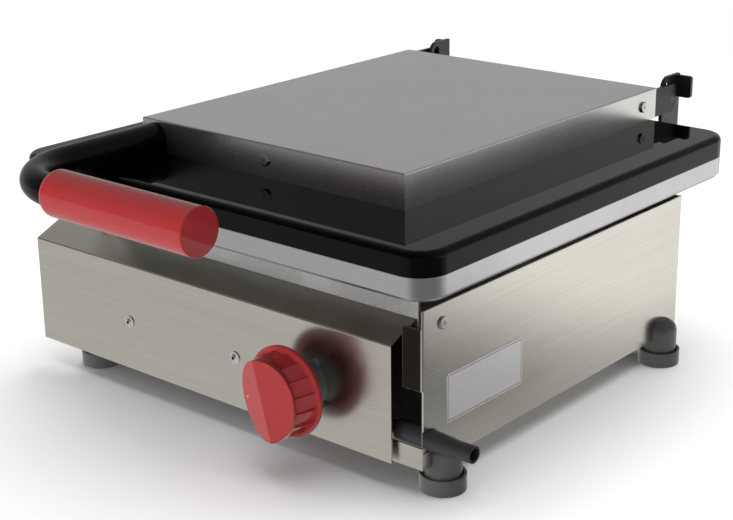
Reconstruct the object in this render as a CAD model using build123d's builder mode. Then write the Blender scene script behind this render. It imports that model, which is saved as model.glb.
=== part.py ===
from build123d import *
import math
import os

# Gas griddle with a hinged press lid, in millimetres, +Z up.
# The origin is on the table, under the middle of the whole outline.
# The user stands at -Y, and the hinge is at +Y.
os.makedirs("parts", exist_ok=True)

# Sheets and clearances
SHEET = 1.2          # stainless sheet of the base, the cover and the hood
STEEL = 3.0          # flat steel of the hinge posts and the lid arms
ENAMEL = 1.6         # enamelled sheet of the lid pan
FOLD_R = 1.5         # outer radius of a sheet fold
RUN_GAP = 0.05       # radial clearance of a running fit
SCREW_GAP = 0.1      # radial clearance of a screw in its hole
PASS_GAP = 0.5       # gap between parts that pass one another

# Base
BODY_W = 347.3
BODY_D = 326.6
BODY_H = 111.3
PANEL_Z = 21.0       # height of the panels' lower edge above the table
RETURN_W = 16.5      # front return of a side panel
RETURN_LOW = 56.0    # where that return starts, above the panel's lower edge
RETURN_DROP = 12.5   # where it ends, below the panel's top edge
BACK_RETURN_W = 14.0
SHELF_W = 20.0       # bottom return, between the feet
STRIP_H = 15.5       # front strip
VENT_W = 6.0
VENT_H = 42.0
VENT_COUNT = 11
VENT_PITCH = 15.0
SHIELD_IN = 43.3     # heat shield behind the front of the base
SHIELD_GAP = 2.4     # below the griddle's ledges
TRAY_RIM = 10.0

# Front cover, which stands out to the left of the base
COVER_W = 360.0
COVER_LEFT = 209.05
COVER_H = 83.7
COVER_STAND = 4.35   # face of the cover in front of the base
LIP_RISE = 11.1
LIP_BACK = 25.35
RIVET_X = (-104.2, 7.3)
RIVET_Z = 38.5       # above the panels' lower edge
RIVET_HEAD_R = 4.6
RIVET_HEAD_H = 2.2
RIVET_R = 2.0
BRACKET_H = 30.0     # riveted leg of the cover's bracket
BRACKET_END = 15.0   # bracket past each rivet

# Feet
FOOT_IN = 23.0       # middle of a foot in from the end of the base
CUP_R = 16.0
CUP_H = 11.9
CUP_WALL = 1.8
CUP_FLOOR = 2.5
CUP_GAP = 0.3        # between a cup and the sheets beside it
PLUG_R = 13.2
PLUG_TOP = 36.0
PLUG_CROWN = 9.0     # rounding of the plug's top

# Griddle plate and its ledges
LEDGE_DROP = 21.9    # ledge below the panels' top edge
LEDGE_W = 32.4
LEDGE_LEG_GAP = 5.0  # top of the ledge's leg below the panels' top edge
LEDGE_SLOT = (34.0, 8.0)
LEDGE_SLOTS = 5
LEDGE_PITCH = 54.0
GRIDDLE_SIDE_GAP = 19.65  # griddle plate in from the sides of the base
GRIDDLE_END_GAP = 21.65   # griddle plate in from its ends
GRIDDLE_CORNER = 2.0
GRIDDLE_H = 37.7
GRIDDLE_T = 15.0
SKIRT_T = 8.0
GROOVE_W = 8.0       # grease groove along the front
GROOVE_D = 4.0
GROOVE_IN = 7.0
RIB_T = 5.0
RIB_H = 6.0

# Burner
LEG_GAP = 152.4      # between the middles of the two legs
BURNER_R = 12.7
BURNER_WALL = 1.2
MOUTH_IN = 37.3      # burner's mouth behind the front of the base
BURNER_TURN = 30.0   # where the legs end and the bend starts
BURNER_STUB = -104.0
MOUTH_FLARE = 3.6
PORT_W = 1.6
PORT_PITCH = 9.0
PORT_DEPTH = 4.0
PORTS = 14
BEND_PORTS = 11
CRADLE_Y = (-95.0, 22.0)
CRADLE_FOOT = 14.0
CRADLE_SIDE = 18.0

# Gas train, from the nozzle at the right front corner to the knob
KNOB_X = 76.2
KNOB_Z = 38.6        # above the panels' lower edge
INLET_Z = 19.5       # above the panels' lower edge
INLET_BACK = 8.8     # nozzle's axis behind the front strip's face
INLET_REACH = 209.05
INLET_ROOT_R = 7.5
INLET_TIP_R = 6.0
INLET_TIP_L = 14.0
INLET_TAPER = 22.0
INLET_BORE_R = 4.5
INLET_START = 148.0
PIPE_R = 5.0
PIPE_BORE_R = 3.4
PIPE_SOCKET = 12.0   # pipe inside the nozzle
VALVE_R = 12.0
VALVE_L = 30.0
VALVE_FLANGE_R = 17.0
VALVE_FLANGE_T = 3.0
VALVE_END = 3.0      # metal behind the spindle
VALVE_HEX = 1.0      # corners of a hexagon or octagon past its round
SOCKET_WALL = 2.0
SPRING_ROOM = 2.0
STEM_END = 4.0       # spindle's end in front of the valve's rear, pushed in
JET_R = 4.5
JET_L = 9.0
JET_BORE_R = 0.6
JET_TAPER = 20

# Knob, its spindle and the ring behind it
BEZEL_R = 19.0
BEZEL_L = 15.0
BEZEL_BORE_R = 12.5
BEZEL_CHAMFER = 1.5
KNOB_STAND = 20.0    # back of the knob's flange, in front of the cover
KNOB_FLANGE_R = 32.7
KNOB_FLANGE_T = 3.0
KNOB_BODY_R = 30.0
KNOB_TOOTH = 2.3
KNOB_TEETH = 16
TOOTH_STEP = 0.96    # share of a tooth that its slow flank takes
KNOB_BODY_L = 13.0
KNOB_OVAL = (28.9, 23.1)
KNOB_RIDGE = 24.4    # ridge in front of the flange's back face
KNOB_SLOPE = 0.29
KNOB_TILT = 15.0
KNOB_WALL = 3.0
KNOB_BOSS_R = 8.0
KNOB_TAPER = 16
STEM_R = 4.0
STEM_FLAT = 1.2
STEM_IN_KNOB = 12.0
CUP_SPRING_R = 7.5   # spring cup inside the valve
CUP_SPRING_T = 2.5
PUSH = 3.5           # travel of the knob when it is pushed in

# Lid
LID_W = 392.8
LID_FRONT = 188.9    # from the middle of the base
LID_REAR = 192.95
LID_CORNER = 20.8
PRESS_H = 16.2
PRESS_FLOOR = 9.0
PRESS_RIM = 14.0
PRESS_CHAMFER = 2.75
PRESS_RIB = 6.0
PAN_H = 16.6
PAN_EDGE = 4.6
PAD_GAP = 1.0

# Hood
HOOD_W = 254.0
HOOD_FRONT = 123.2
HOOD_REAR = 196.0
HOOD_H = 25.1
HOOD_BRACKET = (30.0, 14.0, 20.0)
HOOD_SCREW_Z = 12.8  # above the pan
SIDE_SCREW_BACK = 19.9

# Handle
TUBE_R = 11.2
TUBE_WALL = 1.5
TUBE_IN = 13.7       # tube's axis in from the hood's left wall
TUBE_LIFT = 0.2
TUBE_BEND = 54.0
TUBE_INNER_END = 30.0
GRIP_OUT = 263.6     # grip's axis in front of the middle of the base
GRIP_R = 16.5
GRIP_START = 1.7     # grip past the end of the bend
GRIP_L = 137.7
GRIP_ROUND = 5.0
GRIP_CHAMFER = 0.6
TUBE_IN_GRIP = 130.0
STRAP_T = 1.0
STRAP_L = 16.0
STRAP_EAR = 9.0
STRAP_Y = (-92.0, 8.0)

# Hinge
POST_W = 26.9
POST_EDGE = 7.6      # front edge of the blade to the middle of its slot
POST_RISE = 18.0     # top of the post above the pivot
POST_SHOULDER = 9.0
POST_TOE_R = 6.0
POST_KNEE_R = 12.0
POST_FOOT_TOP = 4.5  # top of the post's foot below the panels' top edge
POST_FOOT_H = 66.0
POST_FLANGE = 25.0
TAB_OUT = 12.0
TAB_H = 18.0
TAB_DROP = 1.5       # top of the tab below the top of the post
TAB_CORNER = 2.5
SHARP = 0.3          # broken corner of flat steel
PIVOT_BACK = 32.05   # pivot behind the lid's rear edge
PIVOT_RISE = 10.1    # pivot above the pan
LIFT = 10.0          # rise of the pivot for thick food
SLOT_PLAY = 0.2      # slot past the bush at each end of its rise
BUSH_R = 3.6
BUSH_FLANGE_R = 6.5
BUSH_FLANGE_T = 1.0
ROD_R = 3.0
ARM_GAP = 1.3        # between a post and its arm
ARM_H = 22.4
ARM_TAIL = 5.6       # arm behind the pivot
ARM_TAIL_R = 5.0
ARM_NOSE_R = 3.0
ARM_FRONT = 60.0
ARM_FOOT = 20.0
BOLT_R = 3.0
BOLT_HEAD_R = 5.5
BOLT_HEAD_H = 4.0
BOLT_END = 1.0       # end of a bolt above the floor of its hole
BOLT_Y = (78.0, 150.0)
BOSS_R = 9.0

# Screws of the panels, the hood and the posts
SCREW_R = 2.0
SCREW_HEAD_R = 4.4
SCREW_HEAD_H = 1.8
SCREW_L = 6.0
RIGHT_SCREW_IN = 20.65  # panel's screw behind the front of the base
LEFT_SCREW_IN = 35.3    # further back, clear of the cover's lip
PANEL_SCREW_Z = 13.0  # below the panels' top edge

# Places worked out from the sizes above
POST_REACH = LID_REAR + PIVOT_BACK + POST_W - POST_EDGE
GRIP_REACH = GRIP_OUT + GRIP_R
CX = (COVER_LEFT - INLET_REACH) / 2
CY = (GRIP_REACH - POST_REACH) / 2
SIDE = BODY_W / 2
FRONT = CY - BODY_D / 2
REAR = CY + BODY_D / 2
BASE_TOP = PANEL_Z + BODY_H
LEDGE_Z = BASE_TOP - LEDGE_DROP
COOK_Z = LEDGE_Z + GRIDDLE_H
PAN_Z = COOK_Z + PRESS_H
SLAB_Z = PAN_Z + PAN_H
COVER_FACE = FRONT - COVER_STAND
COVER_BACK = COVER_FACE + SHEET
COVER_X0 = CX - COVER_LEFT
FOOT_Y = BODY_D / 2 - FOOT_IN
GRIDDLE_W = BODY_W - 2 * GRIDDLE_SIDE_GAP
GRIDDLE_D = BODY_D - 2 * GRIDDLE_END_GAP
MOUTH_Y = FRONT + MOUTH_IN
TUBE_X = TUBE_IN - HOOD_W / 2
GRIP_LEFT = TUBE_X + TUBE_BEND + GRIP_START
TUBE_Z = SLAB_Z + TUBE_LIFT + TUBE_R
PIVOT_Y = CY + LID_REAR + PIVOT_BACK
PIVOT_Z = SLAB_Z + PIVOT_RISE
POST_FRONT = PIVOT_Y - POST_EDGE
POST_REAR = POST_FRONT + POST_W
POST_TOP = PIVOT_Z + POST_RISE
BACK_FACE = REAR - SHEET
GAS_Z = PANEL_Z + KNOB_Z
GAS_X = CX + KNOB_X
PIPE_Z = PANEL_Z + INLET_Z
PIPE_Y = FRONT + INLET_BACK
ARM_X = HOOD_W / 2 - SHEET - PASS_GAP - STEEL
POST_X = ARM_X - ARM_GAP - STEEL
MIDDLE = Plane.YZ.offset(CX)


def keep(piece, name):
    """Label one finished piece and write it to its own file."""
    piece.part.label = name
    export_step(piece.part, f"parts/{name}.step")


def folded(points, thickness, side, outer_r=FOLD_R):
    """Section of a sheet folded along the points, which lie on its outer face."""
    with BuildLine() as path:
        FilletPolyline(*points, radius=outer_r)
        offset(amount=thickness, side=side)
    make_face(path.edges())


def mirrored(piece, name):
    """The same piece on the other side of the griddle."""
    with BuildPart() as twin:
        mirror(piece.part, about=MIDDLE)
    keep(twin, name)


# Side panels, with a front return, a rear return and a shelf between the feet
PANEL_SCREWS = {
    1: (FRONT + RIGHT_SCREW_IN, BASE_TOP - PANEL_SCREW_Z),
    -1: (FRONT + LEFT_SCREW_IN, BASE_TOP - PANEL_SCREW_Z),
}
SHELF_END = FOOT_Y - CUP_R - CUP_GAP
WEB_X = SIDE - SHEET

with BuildPart() as plain_panel:
    with BuildSketch(Plane.XY.offset(PANEL_Z)):
        outer = CX + SIDE
        folded([(outer - RETURN_W, FRONT), (outer, FRONT), (outer, REAR), (outer - BACK_RETURN_W, REAR)],
               SHEET, Side.LEFT)
    extrude(amount=BODY_H)
    with BuildSketch(Plane.XY.offset(PANEL_Z)):
        with Locations((CX + SIDE - RETURN_W / 2, FRONT)):
            Rectangle(RETURN_W, 2 * SHEET)
    extrude(amount=RETURN_LOW, mode=Mode.SUBTRACT)
    with BuildSketch(Plane.XY.offset(BASE_TOP)):
        with Locations((CX + SIDE - SHEET - RETURN_W / 2, FRONT)):
            Rectangle(RETURN_W, 4 * SHEET)
    extrude(amount=-RETURN_DROP, mode=Mode.SUBTRACT)
    with BuildSketch(Plane.XY.offset(PANEL_Z)):
        with Locations((CX + WEB_X - SHELF_W / 2, CY)):
            Rectangle(SHELF_W, 2 * SHELF_END)
    extrude(amount=SHEET)


def screw_hole(side):
    """Cut the hole of the panel's screw through the web and the rail's leg."""
    with BuildSketch(Plane.YZ.offset(CX + side * (SIDE + SHEET))) as hole:
        with Locations(PANEL_SCREWS[side]):
            Circle(SCREW_R + SCREW_GAP)
    extrude(hole.sketch, amount=-side * 4 * SHEET, mode=Mode.SUBTRACT)


def lip_relief():
    """Cut what is under and in front of the cover's lip, which passes over the left panel."""
    with BuildSketch(Plane.YZ.offset(COVER_X0)) as relief:
        with BuildLine() as edge:
            low_z = PANEL_Z + COVER_H - 2 * SHEET
            end_y = COVER_FACE + LIP_BACK + SHEET
            Polyline((COVER_FACE, low_z), (end_y, low_z + LIP_RISE), (end_y, BASE_TOP + SHEET),
                     (COVER_FACE, BASE_TOP + SHEET), close=True)
        make_face(edge.edges())
    extrude(relief.sketch, amount=COVER_LEFT - SIDE + RETURN_W + LEDGE_W, mode=Mode.SUBTRACT)


with BuildPart() as side_panel_left:
    mirror(plain_panel.part, about=MIDDLE)
    lip_relief()
    screw_hole(-1)
keep(side_panel_left, "side_panel_left")

with BuildPart() as side_panel_right:
    add(plain_panel.part)
    screw_hole(1)
    with BuildSketch(Plane.YZ.offset(CX + WEB_X)):
        with Locations((PIPE_Y, PIPE_Z)):
            Circle(INLET_ROOT_R + PASS_GAP)
        with Locations((PIPE_Y - INLET_BACK / 2, PIPE_Z)):
            Rectangle(INLET_BACK, 2 * (INLET_ROOT_R + PASS_GAP))
    extrude(amount=SHEET, mode=Mode.SUBTRACT)
keep(side_panel_right, "side_panel_right")

# Back panel with its row of vents and the holes of the posts' screws
POST_SCREW_X = POST_X + STEEL - POST_FLANGE / 2 - STEEL / 2
POST_FOOT_Z = BASE_TOP - POST_FOOT_TOP - POST_FOOT_H
POST_SCREW_Z = [POST_FOOT_Z + share * POST_FOOT_H for share in (0.2, 0.8)]
POST_SCREWS = [(side * POST_SCREW_X, z) for side in (-1, 1) for z in POST_SCREW_Z]
INSIDE_W = 2 * WEB_X

with BuildPart() as back_panel:
    with BuildSketch(Plane.XZ.offset(-BACK_FACE)):
        with Locations((CX, PANEL_Z + BODY_H / 2)):
            Rectangle(INSIDE_W - 2 * (FOLD_R - SHEET), BODY_H)
        with Locations((CX, PANEL_Z + BODY_H / 2)):
            with GridLocations(VENT_PITCH, VENT_H, VENT_COUNT, 1):
                SlotOverall(VENT_H, VENT_W, rotation=90, mode=Mode.SUBTRACT)
        with Locations([(CX + x, z) for x, z in POST_SCREWS]):
            Circle(SCREW_R + SCREW_GAP, mode=Mode.SUBTRACT)
    extrude(amount=SHEET)
keep(back_panel, "back_panel")

# Front strip, which covers the front edges of the panels' webs
with BuildPart() as front_strip:
    with BuildSketch(Plane.XZ.offset(-FRONT)):
        with Locations((CX, PANEL_Z)):
            Rectangle(BODY_W, STRIP_H, align=(Align.CENTER, Align.MIN))
    extrude(amount=-SHEET)
keep(front_strip, "front_strip")

# Heat shield between the gas train and the burner
SHIELD_FACE = FRONT + SHIELD_IN
SHIELD_TOP = LEDGE_Z - SHIELD_GAP

with BuildPart() as heat_shield:
    with BuildSketch(Plane.XZ.offset(-SHIELD_FACE)):
        with Locations((CX, PANEL_Z + SHEET)):
            Rectangle(INSIDE_W, SHIELD_TOP - PANEL_Z - SHEET, align=(Align.CENTER, Align.MIN))
        with Locations((GAS_X, GAS_Z)):
            Circle(BURNER_R + PASS_GAP, mode=Mode.SUBTRACT)
    extrude(amount=-SHEET)
keep(heat_shield, "heat_shield")

# Tray under the burner, on the panels' shelves
TRAY_FRONT = SHIELD_FACE + SHEET
TRAY_REAR = CY + SHELF_END
TRAY_W = INSIDE_W - 2 * PASS_GAP
TRAY_Z = PANEL_Z + SHEET

with BuildPart() as bottom_tray:
    with BuildSketch(Plane.XY.offset(TRAY_Z)):
        with Locations((CX, (TRAY_FRONT + TRAY_REAR) / 2)):
            RectangleRounded(TRAY_W, TRAY_REAR - TRAY_FRONT, 3 * FOLD_R)
    extrude(amount=TRAY_RIM)
    offset(amount=-SHEET, openings=bottom_tray.faces().sort_by(Axis.Z)[-1])
keep(bottom_tray, "bottom_tray")

# Front cover: an upright face and a lip that slopes back to the griddle
RIVETS = [(CX + x, PANEL_Z + RIVET_Z) for x in RIVET_X]

with BuildPart() as front_cover:
    with BuildSketch(Plane.YZ.offset(COVER_X0)):
        lip_z = PANEL_Z + COVER_H
        folded([(COVER_FACE, PANEL_Z), (COVER_FACE, lip_z), (COVER_FACE + LIP_BACK, lip_z + LIP_RISE)],
               SHEET, Side.RIGHT)
    extrude(amount=COVER_W)
    with BuildSketch(Plane.XZ.offset(-COVER_FACE)):
        with Locations(RIVETS):
            Circle(RIVET_R + SCREW_GAP)
        with Locations((GAS_X, GAS_Z)):
            Circle(BEZEL_BORE_R - PASS_GAP)
    extrude(amount=-SHEET, mode=Mode.SUBTRACT)
keep(front_cover, "front_cover")

# Joggled bracket that carries the cover on the strip
BRACKET_LOW = PANEL_Z + 3 * SHEET
BRACKET_TOP = PANEL_Z + RIVET_Z + BRACKET_H / 2
JOG = FRONT - SHEET

with BuildPart() as cover_bracket:
    with BuildSketch(Plane.YZ.offset(RIVETS[0][0] - BRACKET_END)):
        bend_z = PANEL_Z + RIVET_Z - BRACKET_H / 2
        with BuildLine():
            Polyline((COVER_BACK, BRACKET_TOP), (COVER_BACK, bend_z), (JOG, bend_z - STRIP_H / 4),
                     (JOG, BRACKET_LOW), (FRONT, BRACKET_LOW), (FRONT, bend_z - STRIP_H / 4 + SHEET / 2),
                     (COVER_BACK + SHEET, bend_z + SHEET / 2), (COVER_BACK + SHEET, BRACKET_TOP), close=True)
        make_face()
    extrude(amount=RIVETS[1][0] - RIVETS[0][0] + 2 * BRACKET_END)
    with BuildSketch(Plane.XZ.offset(-COVER_BACK)):
        with Locations(RIVETS):
            Circle(RIVET_R + SCREW_GAP)
    extrude(amount=-SHEET, mode=Mode.SUBTRACT)
keep(cover_bracket, "cover_bracket")

# Domed rivets with a hollow mandrel mark, one solid each
with BuildPart() as cover_rivets:
    for x, z in RIVETS:
        with BuildSketch(Plane.XZ.offset(-COVER_FACE).shift_origin((x, COVER_FACE, z))):
            Circle(RIVET_R)
        extrude(amount=-2 * SHEET)
        with BuildSketch(Plane(origin=(x, COVER_FACE, z), x_dir=(1, 0, 0), z_dir=(0, 0, 1))):
            with BuildLine():
                head = RIVET_HEAD_H * 0.35
                Line((0, 0), (RIVET_HEAD_R, 0))
                Line((RIVET_HEAD_R, 0), (RIVET_HEAD_R, -head))
                SagittaArc((RIVET_HEAD_R, -head), (RIVET_R / 2, -RIVET_HEAD_H), -RIVET_HEAD_H * 0.15)
                Line((RIVET_R / 2, -RIVET_HEAD_H), (RIVET_R / 2, -head))
                Line((RIVET_R / 2, -head), (0, -head))
                Line((0, -head), (0, 0))
            make_face()
        revolve(axis=Axis((x, COVER_FACE, z), (0, 1, 0)))
keep(cover_rivets, "cover_rivets")


# Feet: a slotted plug that straddles the panel's edge, in a cup on the table
def foot(front_or_rear, side, name):
    """One plug and its cup at a corner of the base."""
    place = (CX + side * (SIDE - SHEET / 2), CY + front_or_rear * FOOT_Y)
    with BuildPart() as plug:
        with BuildSketch(Plane.XY.offset(CUP_FLOOR)):
            with Locations(place):
                Circle(PLUG_R)
        extrude(amount=PLUG_TOP - CUP_FLOOR)
        fillet(plug.faces().sort_by(Axis.Z)[-1].edges(), PLUG_CROWN)
        with BuildSketch(Plane.XY.offset(PANEL_Z)):
            with Locations(place):
                Rectangle(SHEET + 2 * RUN_GAP, 2 * PLUG_R + 2)
        extrude(amount=PLUG_TOP, mode=Mode.SUBTRACT)
    keep(plug, f"foot_{name}")
    with BuildPart() as cup:
        with BuildSketch():
            with Locations(place):
                Circle(CUP_R)
        extrude(amount=CUP_H)
        chamfer(cup.faces().sort_by(Axis.Z)[0].edges(), CUP_WALL / 3)
        with BuildSketch(Plane.XY.offset(CUP_FLOOR)):
            with Locations(place):
                Circle(CUP_R - CUP_WALL)
        extrude(amount=CUP_H, mode=Mode.SUBTRACT)
    keep(cup, f"foot_cup_{name}")


for end_name, end in (("front", -1), ("rear", 1)):
    for side_name, side in (("left", -1), ("right", 1)):
        foot(end, side, f"{end_name}_{side_name}")

# Slotted ledges on which the griddle plate rests
with BuildPart() as plain_rail:
    wall_x = CX + WEB_X
    rail_end = FOOT_Y + CUP_R / 2
    with BuildSketch(Plane.XZ.offset(rail_end - CY)):
        low = LEDGE_Z - SHEET
        folded([(wall_x - LEDGE_W, low), (wall_x, low), (wall_x, BASE_TOP - LEDGE_LEG_GAP)], SHEET, Side.LEFT)
    extrude(amount=-2 * rail_end)
    with BuildSketch(Plane.XY.offset(LEDGE_Z - SHEET)):
        with Locations(((CX + GRIDDLE_W / 2 + wall_x) / 2, CY)):
            with GridLocations(LEDGE_SLOT[0], LEDGE_PITCH, 1, LEDGE_SLOTS):
                SlotOverall(*LEDGE_SLOT, rotation=90)
    extrude(amount=SHEET, mode=Mode.SUBTRACT)

with BuildPart() as support_rail_right:
    add(plain_rail.part)
    screw_hole(1)
keep(support_rail_right, "support_rail_right")

with BuildPart() as support_rail_left:
    mirror(plain_rail.part, about=MIDDLE)
    lip_relief()
    screw_hole(-1)
keep(support_rail_left, "support_rail_left")

# Griddle plate: a thick top on a skirt, with a grease groove and cross ribs below
with BuildPart() as griddle_plate:
    with BuildSketch(Plane.XY.offset(LEDGE_Z)):
        with Locations((CX, CY)):
            RectangleRounded(GRIDDLE_W, GRIDDLE_D, GRIDDLE_CORNER)
    extrude(amount=GRIDDLE_H)
    with BuildSketch(Plane.XY.offset(LEDGE_Z)):
        with Locations((CX, CY)):
            RectangleRounded(GRIDDLE_W - 2 * SKIRT_T, GRIDDLE_D - 2 * SKIRT_T, SKIRT_T)
    extrude(amount=GRIDDLE_H - GRIDDLE_T, mode=Mode.SUBTRACT)
    with BuildSketch(Plane.XY.offset(COOK_Z - GRIDDLE_T - RIB_H)):
        with Locations((CX, CY)):
            with GridLocations(GRIDDLE_W / 4, GRIDDLE_D, 3, 1):
                Rectangle(RIB_T, GRIDDLE_D - SKIRT_T)
    extrude(amount=RIB_H)
    with BuildSketch(Plane.XY.offset(COOK_Z - GROOVE_D)):
        with Locations((CX, CY - GRIDDLE_D / 2 + GROOVE_IN + GROOVE_W / 2)):
            SlotOverall(GRIDDLE_W - 2 * GROOVE_IN, GROOVE_W)
    extrude(amount=GROOVE_D, mode=Mode.SUBTRACT)
keep(griddle_plate, "griddle_plate")

# Burner: one tube in a U with a flared mouth, a closed end and cross-cut ports
BURNER_Z = GAS_Z
LEFT_X = GAS_X - LEG_GAP
BEND_R = LEG_GAP / 2
BEND_MID = (GAS_X - BEND_R, CY + BURNER_TURN)


def burner_route():
    """Middle line of the burner, from its mouth to its closed end."""
    with BuildLine(Plane.XY.offset(BURNER_Z)) as route:
        Line((GAS_X, MOUTH_Y), (GAS_X, CY + BURNER_TURN))
        CenterArc(BEND_MID, BEND_R, 0, 180)
        Line((LEFT_X, CY + BURNER_TURN), (LEFT_X, CY + BURNER_STUB))
    return route


with BuildPart() as burner_tube:
    burner_line = burner_route().wires()[0]
    with BuildSketch(Plane(origin=(GAS_X, MOUTH_Y, BURNER_Z), z_dir=(0, 1, 0))):
        Circle(BURNER_R)
        Circle(BURNER_R - BURNER_WALL, mode=Mode.SUBTRACT)
    sweep(path=burner_line)
    with BuildSketch(Plane(origin=(LEFT_X, CY + BURNER_STUB, BURNER_Z), z_dir=(0, 1, 0))):
        Circle(BURNER_R)
    extrude(amount=BURNER_WALL)
    with BuildSketch(Plane(origin=(GAS_X, MOUTH_Y, BURNER_Z), x_dir=(1, 0, 0), z_dir=(0, 0, 1))):
        with BuildLine():
            lip = BURNER_R + MOUTH_FLARE
            Polyline((BURNER_R - BURNER_WALL, 0), (BURNER_R, 0), (lip, -MOUTH_FLARE),
                     (lip - BURNER_WALL, -MOUTH_FLARE), close=True)
        make_face()
    revolve(axis=Axis((GAS_X, CY, BURNER_Z), (0, 1, 0)))
    port_z = BURNER_Z + BURNER_R - PORT_DEPTH / 2
    first_port = CY + BURNER_TURN - PORT_PITCH
    for leg_x in (GAS_X, LEFT_X):
        with Locations([(leg_x, first_port - n * PORT_PITCH, port_z) for n in range(PORTS)]):
            Box(2 * BURNER_R, PORT_W, PORT_DEPTH, mode=Mode.SUBTRACT)
    for n in range(BEND_PORTS):
        turn = 180 * (n + 0.5) / BEND_PORTS
        spot = (BEND_MID[0] + BEND_R * math.cos(math.radians(turn)),
                BEND_MID[1] + BEND_R * math.sin(math.radians(turn)), port_z)
        with Locations(Location(spot, (0, 0, turn))):
            Box(2 * BURNER_R, PORT_W, PORT_DEPTH, mode=Mode.SUBTRACT)
keep(burner_tube, "burner_tube")

# Two cradles that hold the burner over the tray
CRADLE_Z = TRAY_Z + SHEET
for place_name, cradle_y in zip(("front", "rear"), CRADLE_Y):
    with BuildPart() as cradle:
        with BuildSketch(Plane.XZ.offset(-(CY + cradle_y))):
            with Locations((GAS_X - BEND_R, CRADLE_Z)):
                Rectangle(LEG_GAP + 2 * CRADLE_SIDE, BURNER_Z - CRADLE_Z, align=(Align.CENTER, Align.MIN))
            with Locations((GAS_X, BURNER_Z), (LEFT_X, BURNER_Z)):
                Circle(BURNER_R, mode=Mode.SUBTRACT)
        extrude(amount=-SHEET)
        with BuildSketch(Plane.XY.offset(CRADLE_Z)):
            with Locations((GAS_X - BEND_R, CY + cradle_y)):
                Rectangle(LEG_GAP + 2 * CRADLE_SIDE, CRADLE_FOOT, align=(Align.CENTER, Align.MIN))
        extrude(amount=SHEET)
    keep(cradle, f"burner_cradle_{place_name}")

# Gas nozzle: straight root, taper and a plain tip for the hose
TIP_X = CX + INLET_REACH
ROOT_X = CX + INLET_START

with BuildPart() as gas_inlet:
    with BuildSketch(Plane(origin=(0, PIPE_Y, PIPE_Z), x_dir=(1, 0, 0), z_dir=(0, -1, 0))):
        with BuildLine():
            taper_x = TIP_X - INLET_TIP_L
            Polyline((ROOT_X, 0), (ROOT_X, INLET_ROOT_R), (taper_x - INLET_TAPER, INLET_ROOT_R),
                     (taper_x, INLET_TIP_R), (TIP_X, INLET_TIP_R), (TIP_X, 0), close=True)
        make_face()
    revolve(axis=Axis((0, PIPE_Y, PIPE_Z), (1, 0, 0)))
    with BuildSketch(Plane.YZ.offset(ROOT_X)):
        with Locations((PIPE_Y, PIPE_Z)):
            Circle(INLET_BORE_R)
    extrude(amount=TIP_X - ROOT_X, mode=Mode.SUBTRACT)
    with BuildSketch(Plane.YZ.offset(ROOT_X)):
        with Locations((PIPE_Y, PIPE_Z)):
            Circle(PIPE_R)
    extrude(amount=PIPE_SOCKET, mode=Mode.SUBTRACT)
keep(gas_inlet, "gas_inlet")

# Valve: flange against the cover, body, socket for the supply pipe and jet seat
VALVE_REAR = COVER_BACK + VALVE_L
SOCKET_R = PIPE_R + SOCKET_WALL
STEM_DEPTH = VALVE_L - PUSH - STEM_END

with BuildPart() as gas_valve:
    with BuildSketch(Plane.XZ.offset(-COVER_BACK)):
        with Locations((GAS_X, GAS_Z)):
            Circle(VALVE_FLANGE_R)
    extrude(amount=-VALVE_FLANGE_T)
    with BuildSketch(Plane.XZ.offset(-COVER_BACK)):
        with Locations((GAS_X, GAS_Z)):
            RegularPolygon(VALVE_R + VALVE_HEX, 8)
    extrude(amount=-VALVE_L)
    with BuildSketch(Plane.XY.offset(PIPE_Z - SOCKET_R)):
        with Locations((GAS_X, PIPE_Y)):
            Rectangle(2 * SOCKET_R, 2 * SOCKET_R)
    extrude(amount=GAS_Z - PIPE_Z)
    with BuildSketch(Plane.XZ.offset(-COVER_BACK)):
        with Locations((GAS_X, GAS_Z)):
            Circle(CUP_SPRING_R + RUN_GAP)
    extrude(amount=-(VALVE_FLANGE_T + CUP_SPRING_T + PUSH + SPRING_ROOM), mode=Mode.SUBTRACT)
    with BuildSketch(Plane.XZ.offset(-COVER_BACK)):
        with Locations((GAS_X, GAS_Z)):
            Circle(STEM_R + RUN_GAP)
    extrude(amount=-(VALVE_L - VALVE_END), mode=Mode.SUBTRACT)
    with BuildSketch(Plane.YZ.offset(GAS_X + SOCKET_R)):
        with Locations((PIPE_Y, PIPE_Z)):
            Circle(PIPE_R)
    extrude(amount=-2 * SOCKET_R + SOCKET_WALL, mode=Mode.SUBTRACT)
keep(gas_valve, "gas_valve")

# Supply pipe from the nozzle's socket to the valve's
with BuildPart() as gas_manifold:
    with BuildSketch(Plane.YZ.offset(GAS_X - SOCKET_R + SOCKET_WALL)):
        with Locations((PIPE_Y, PIPE_Z)):
            Circle(PIPE_R)
            Circle(PIPE_BORE_R, mode=Mode.SUBTRACT)
    extrude(amount=ROOT_X + PIPE_SOCKET - GAS_X + SOCKET_R - SOCKET_WALL)
keep(gas_manifold, "gas_manifold")

# Jet on the valve's rear, which blows into the burner's mouth
with BuildPart() as gas_injector:
    with BuildSketch(Plane.XZ.offset(-VALVE_REAR)):
        with Locations((GAS_X, GAS_Z)):
            RegularPolygon(JET_R + VALVE_HEX, 6)
    extrude(amount=-JET_L / 2)
    with BuildSketch(Plane.XZ.offset(-(VALVE_REAR + JET_L / 2))):
        with Locations((GAS_X, GAS_Z)):
            Circle(JET_R)
    extrude(amount=-JET_L / 2, taper=JET_TAPER)
    with BuildSketch(Plane.XZ.offset(-VALVE_REAR)):
        with Locations((GAS_X, GAS_Z)):
            Circle(JET_BORE_R)
    extrude(amount=-JET_L, mode=Mode.SUBTRACT)
keep(gas_injector, "gas_injector")

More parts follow.
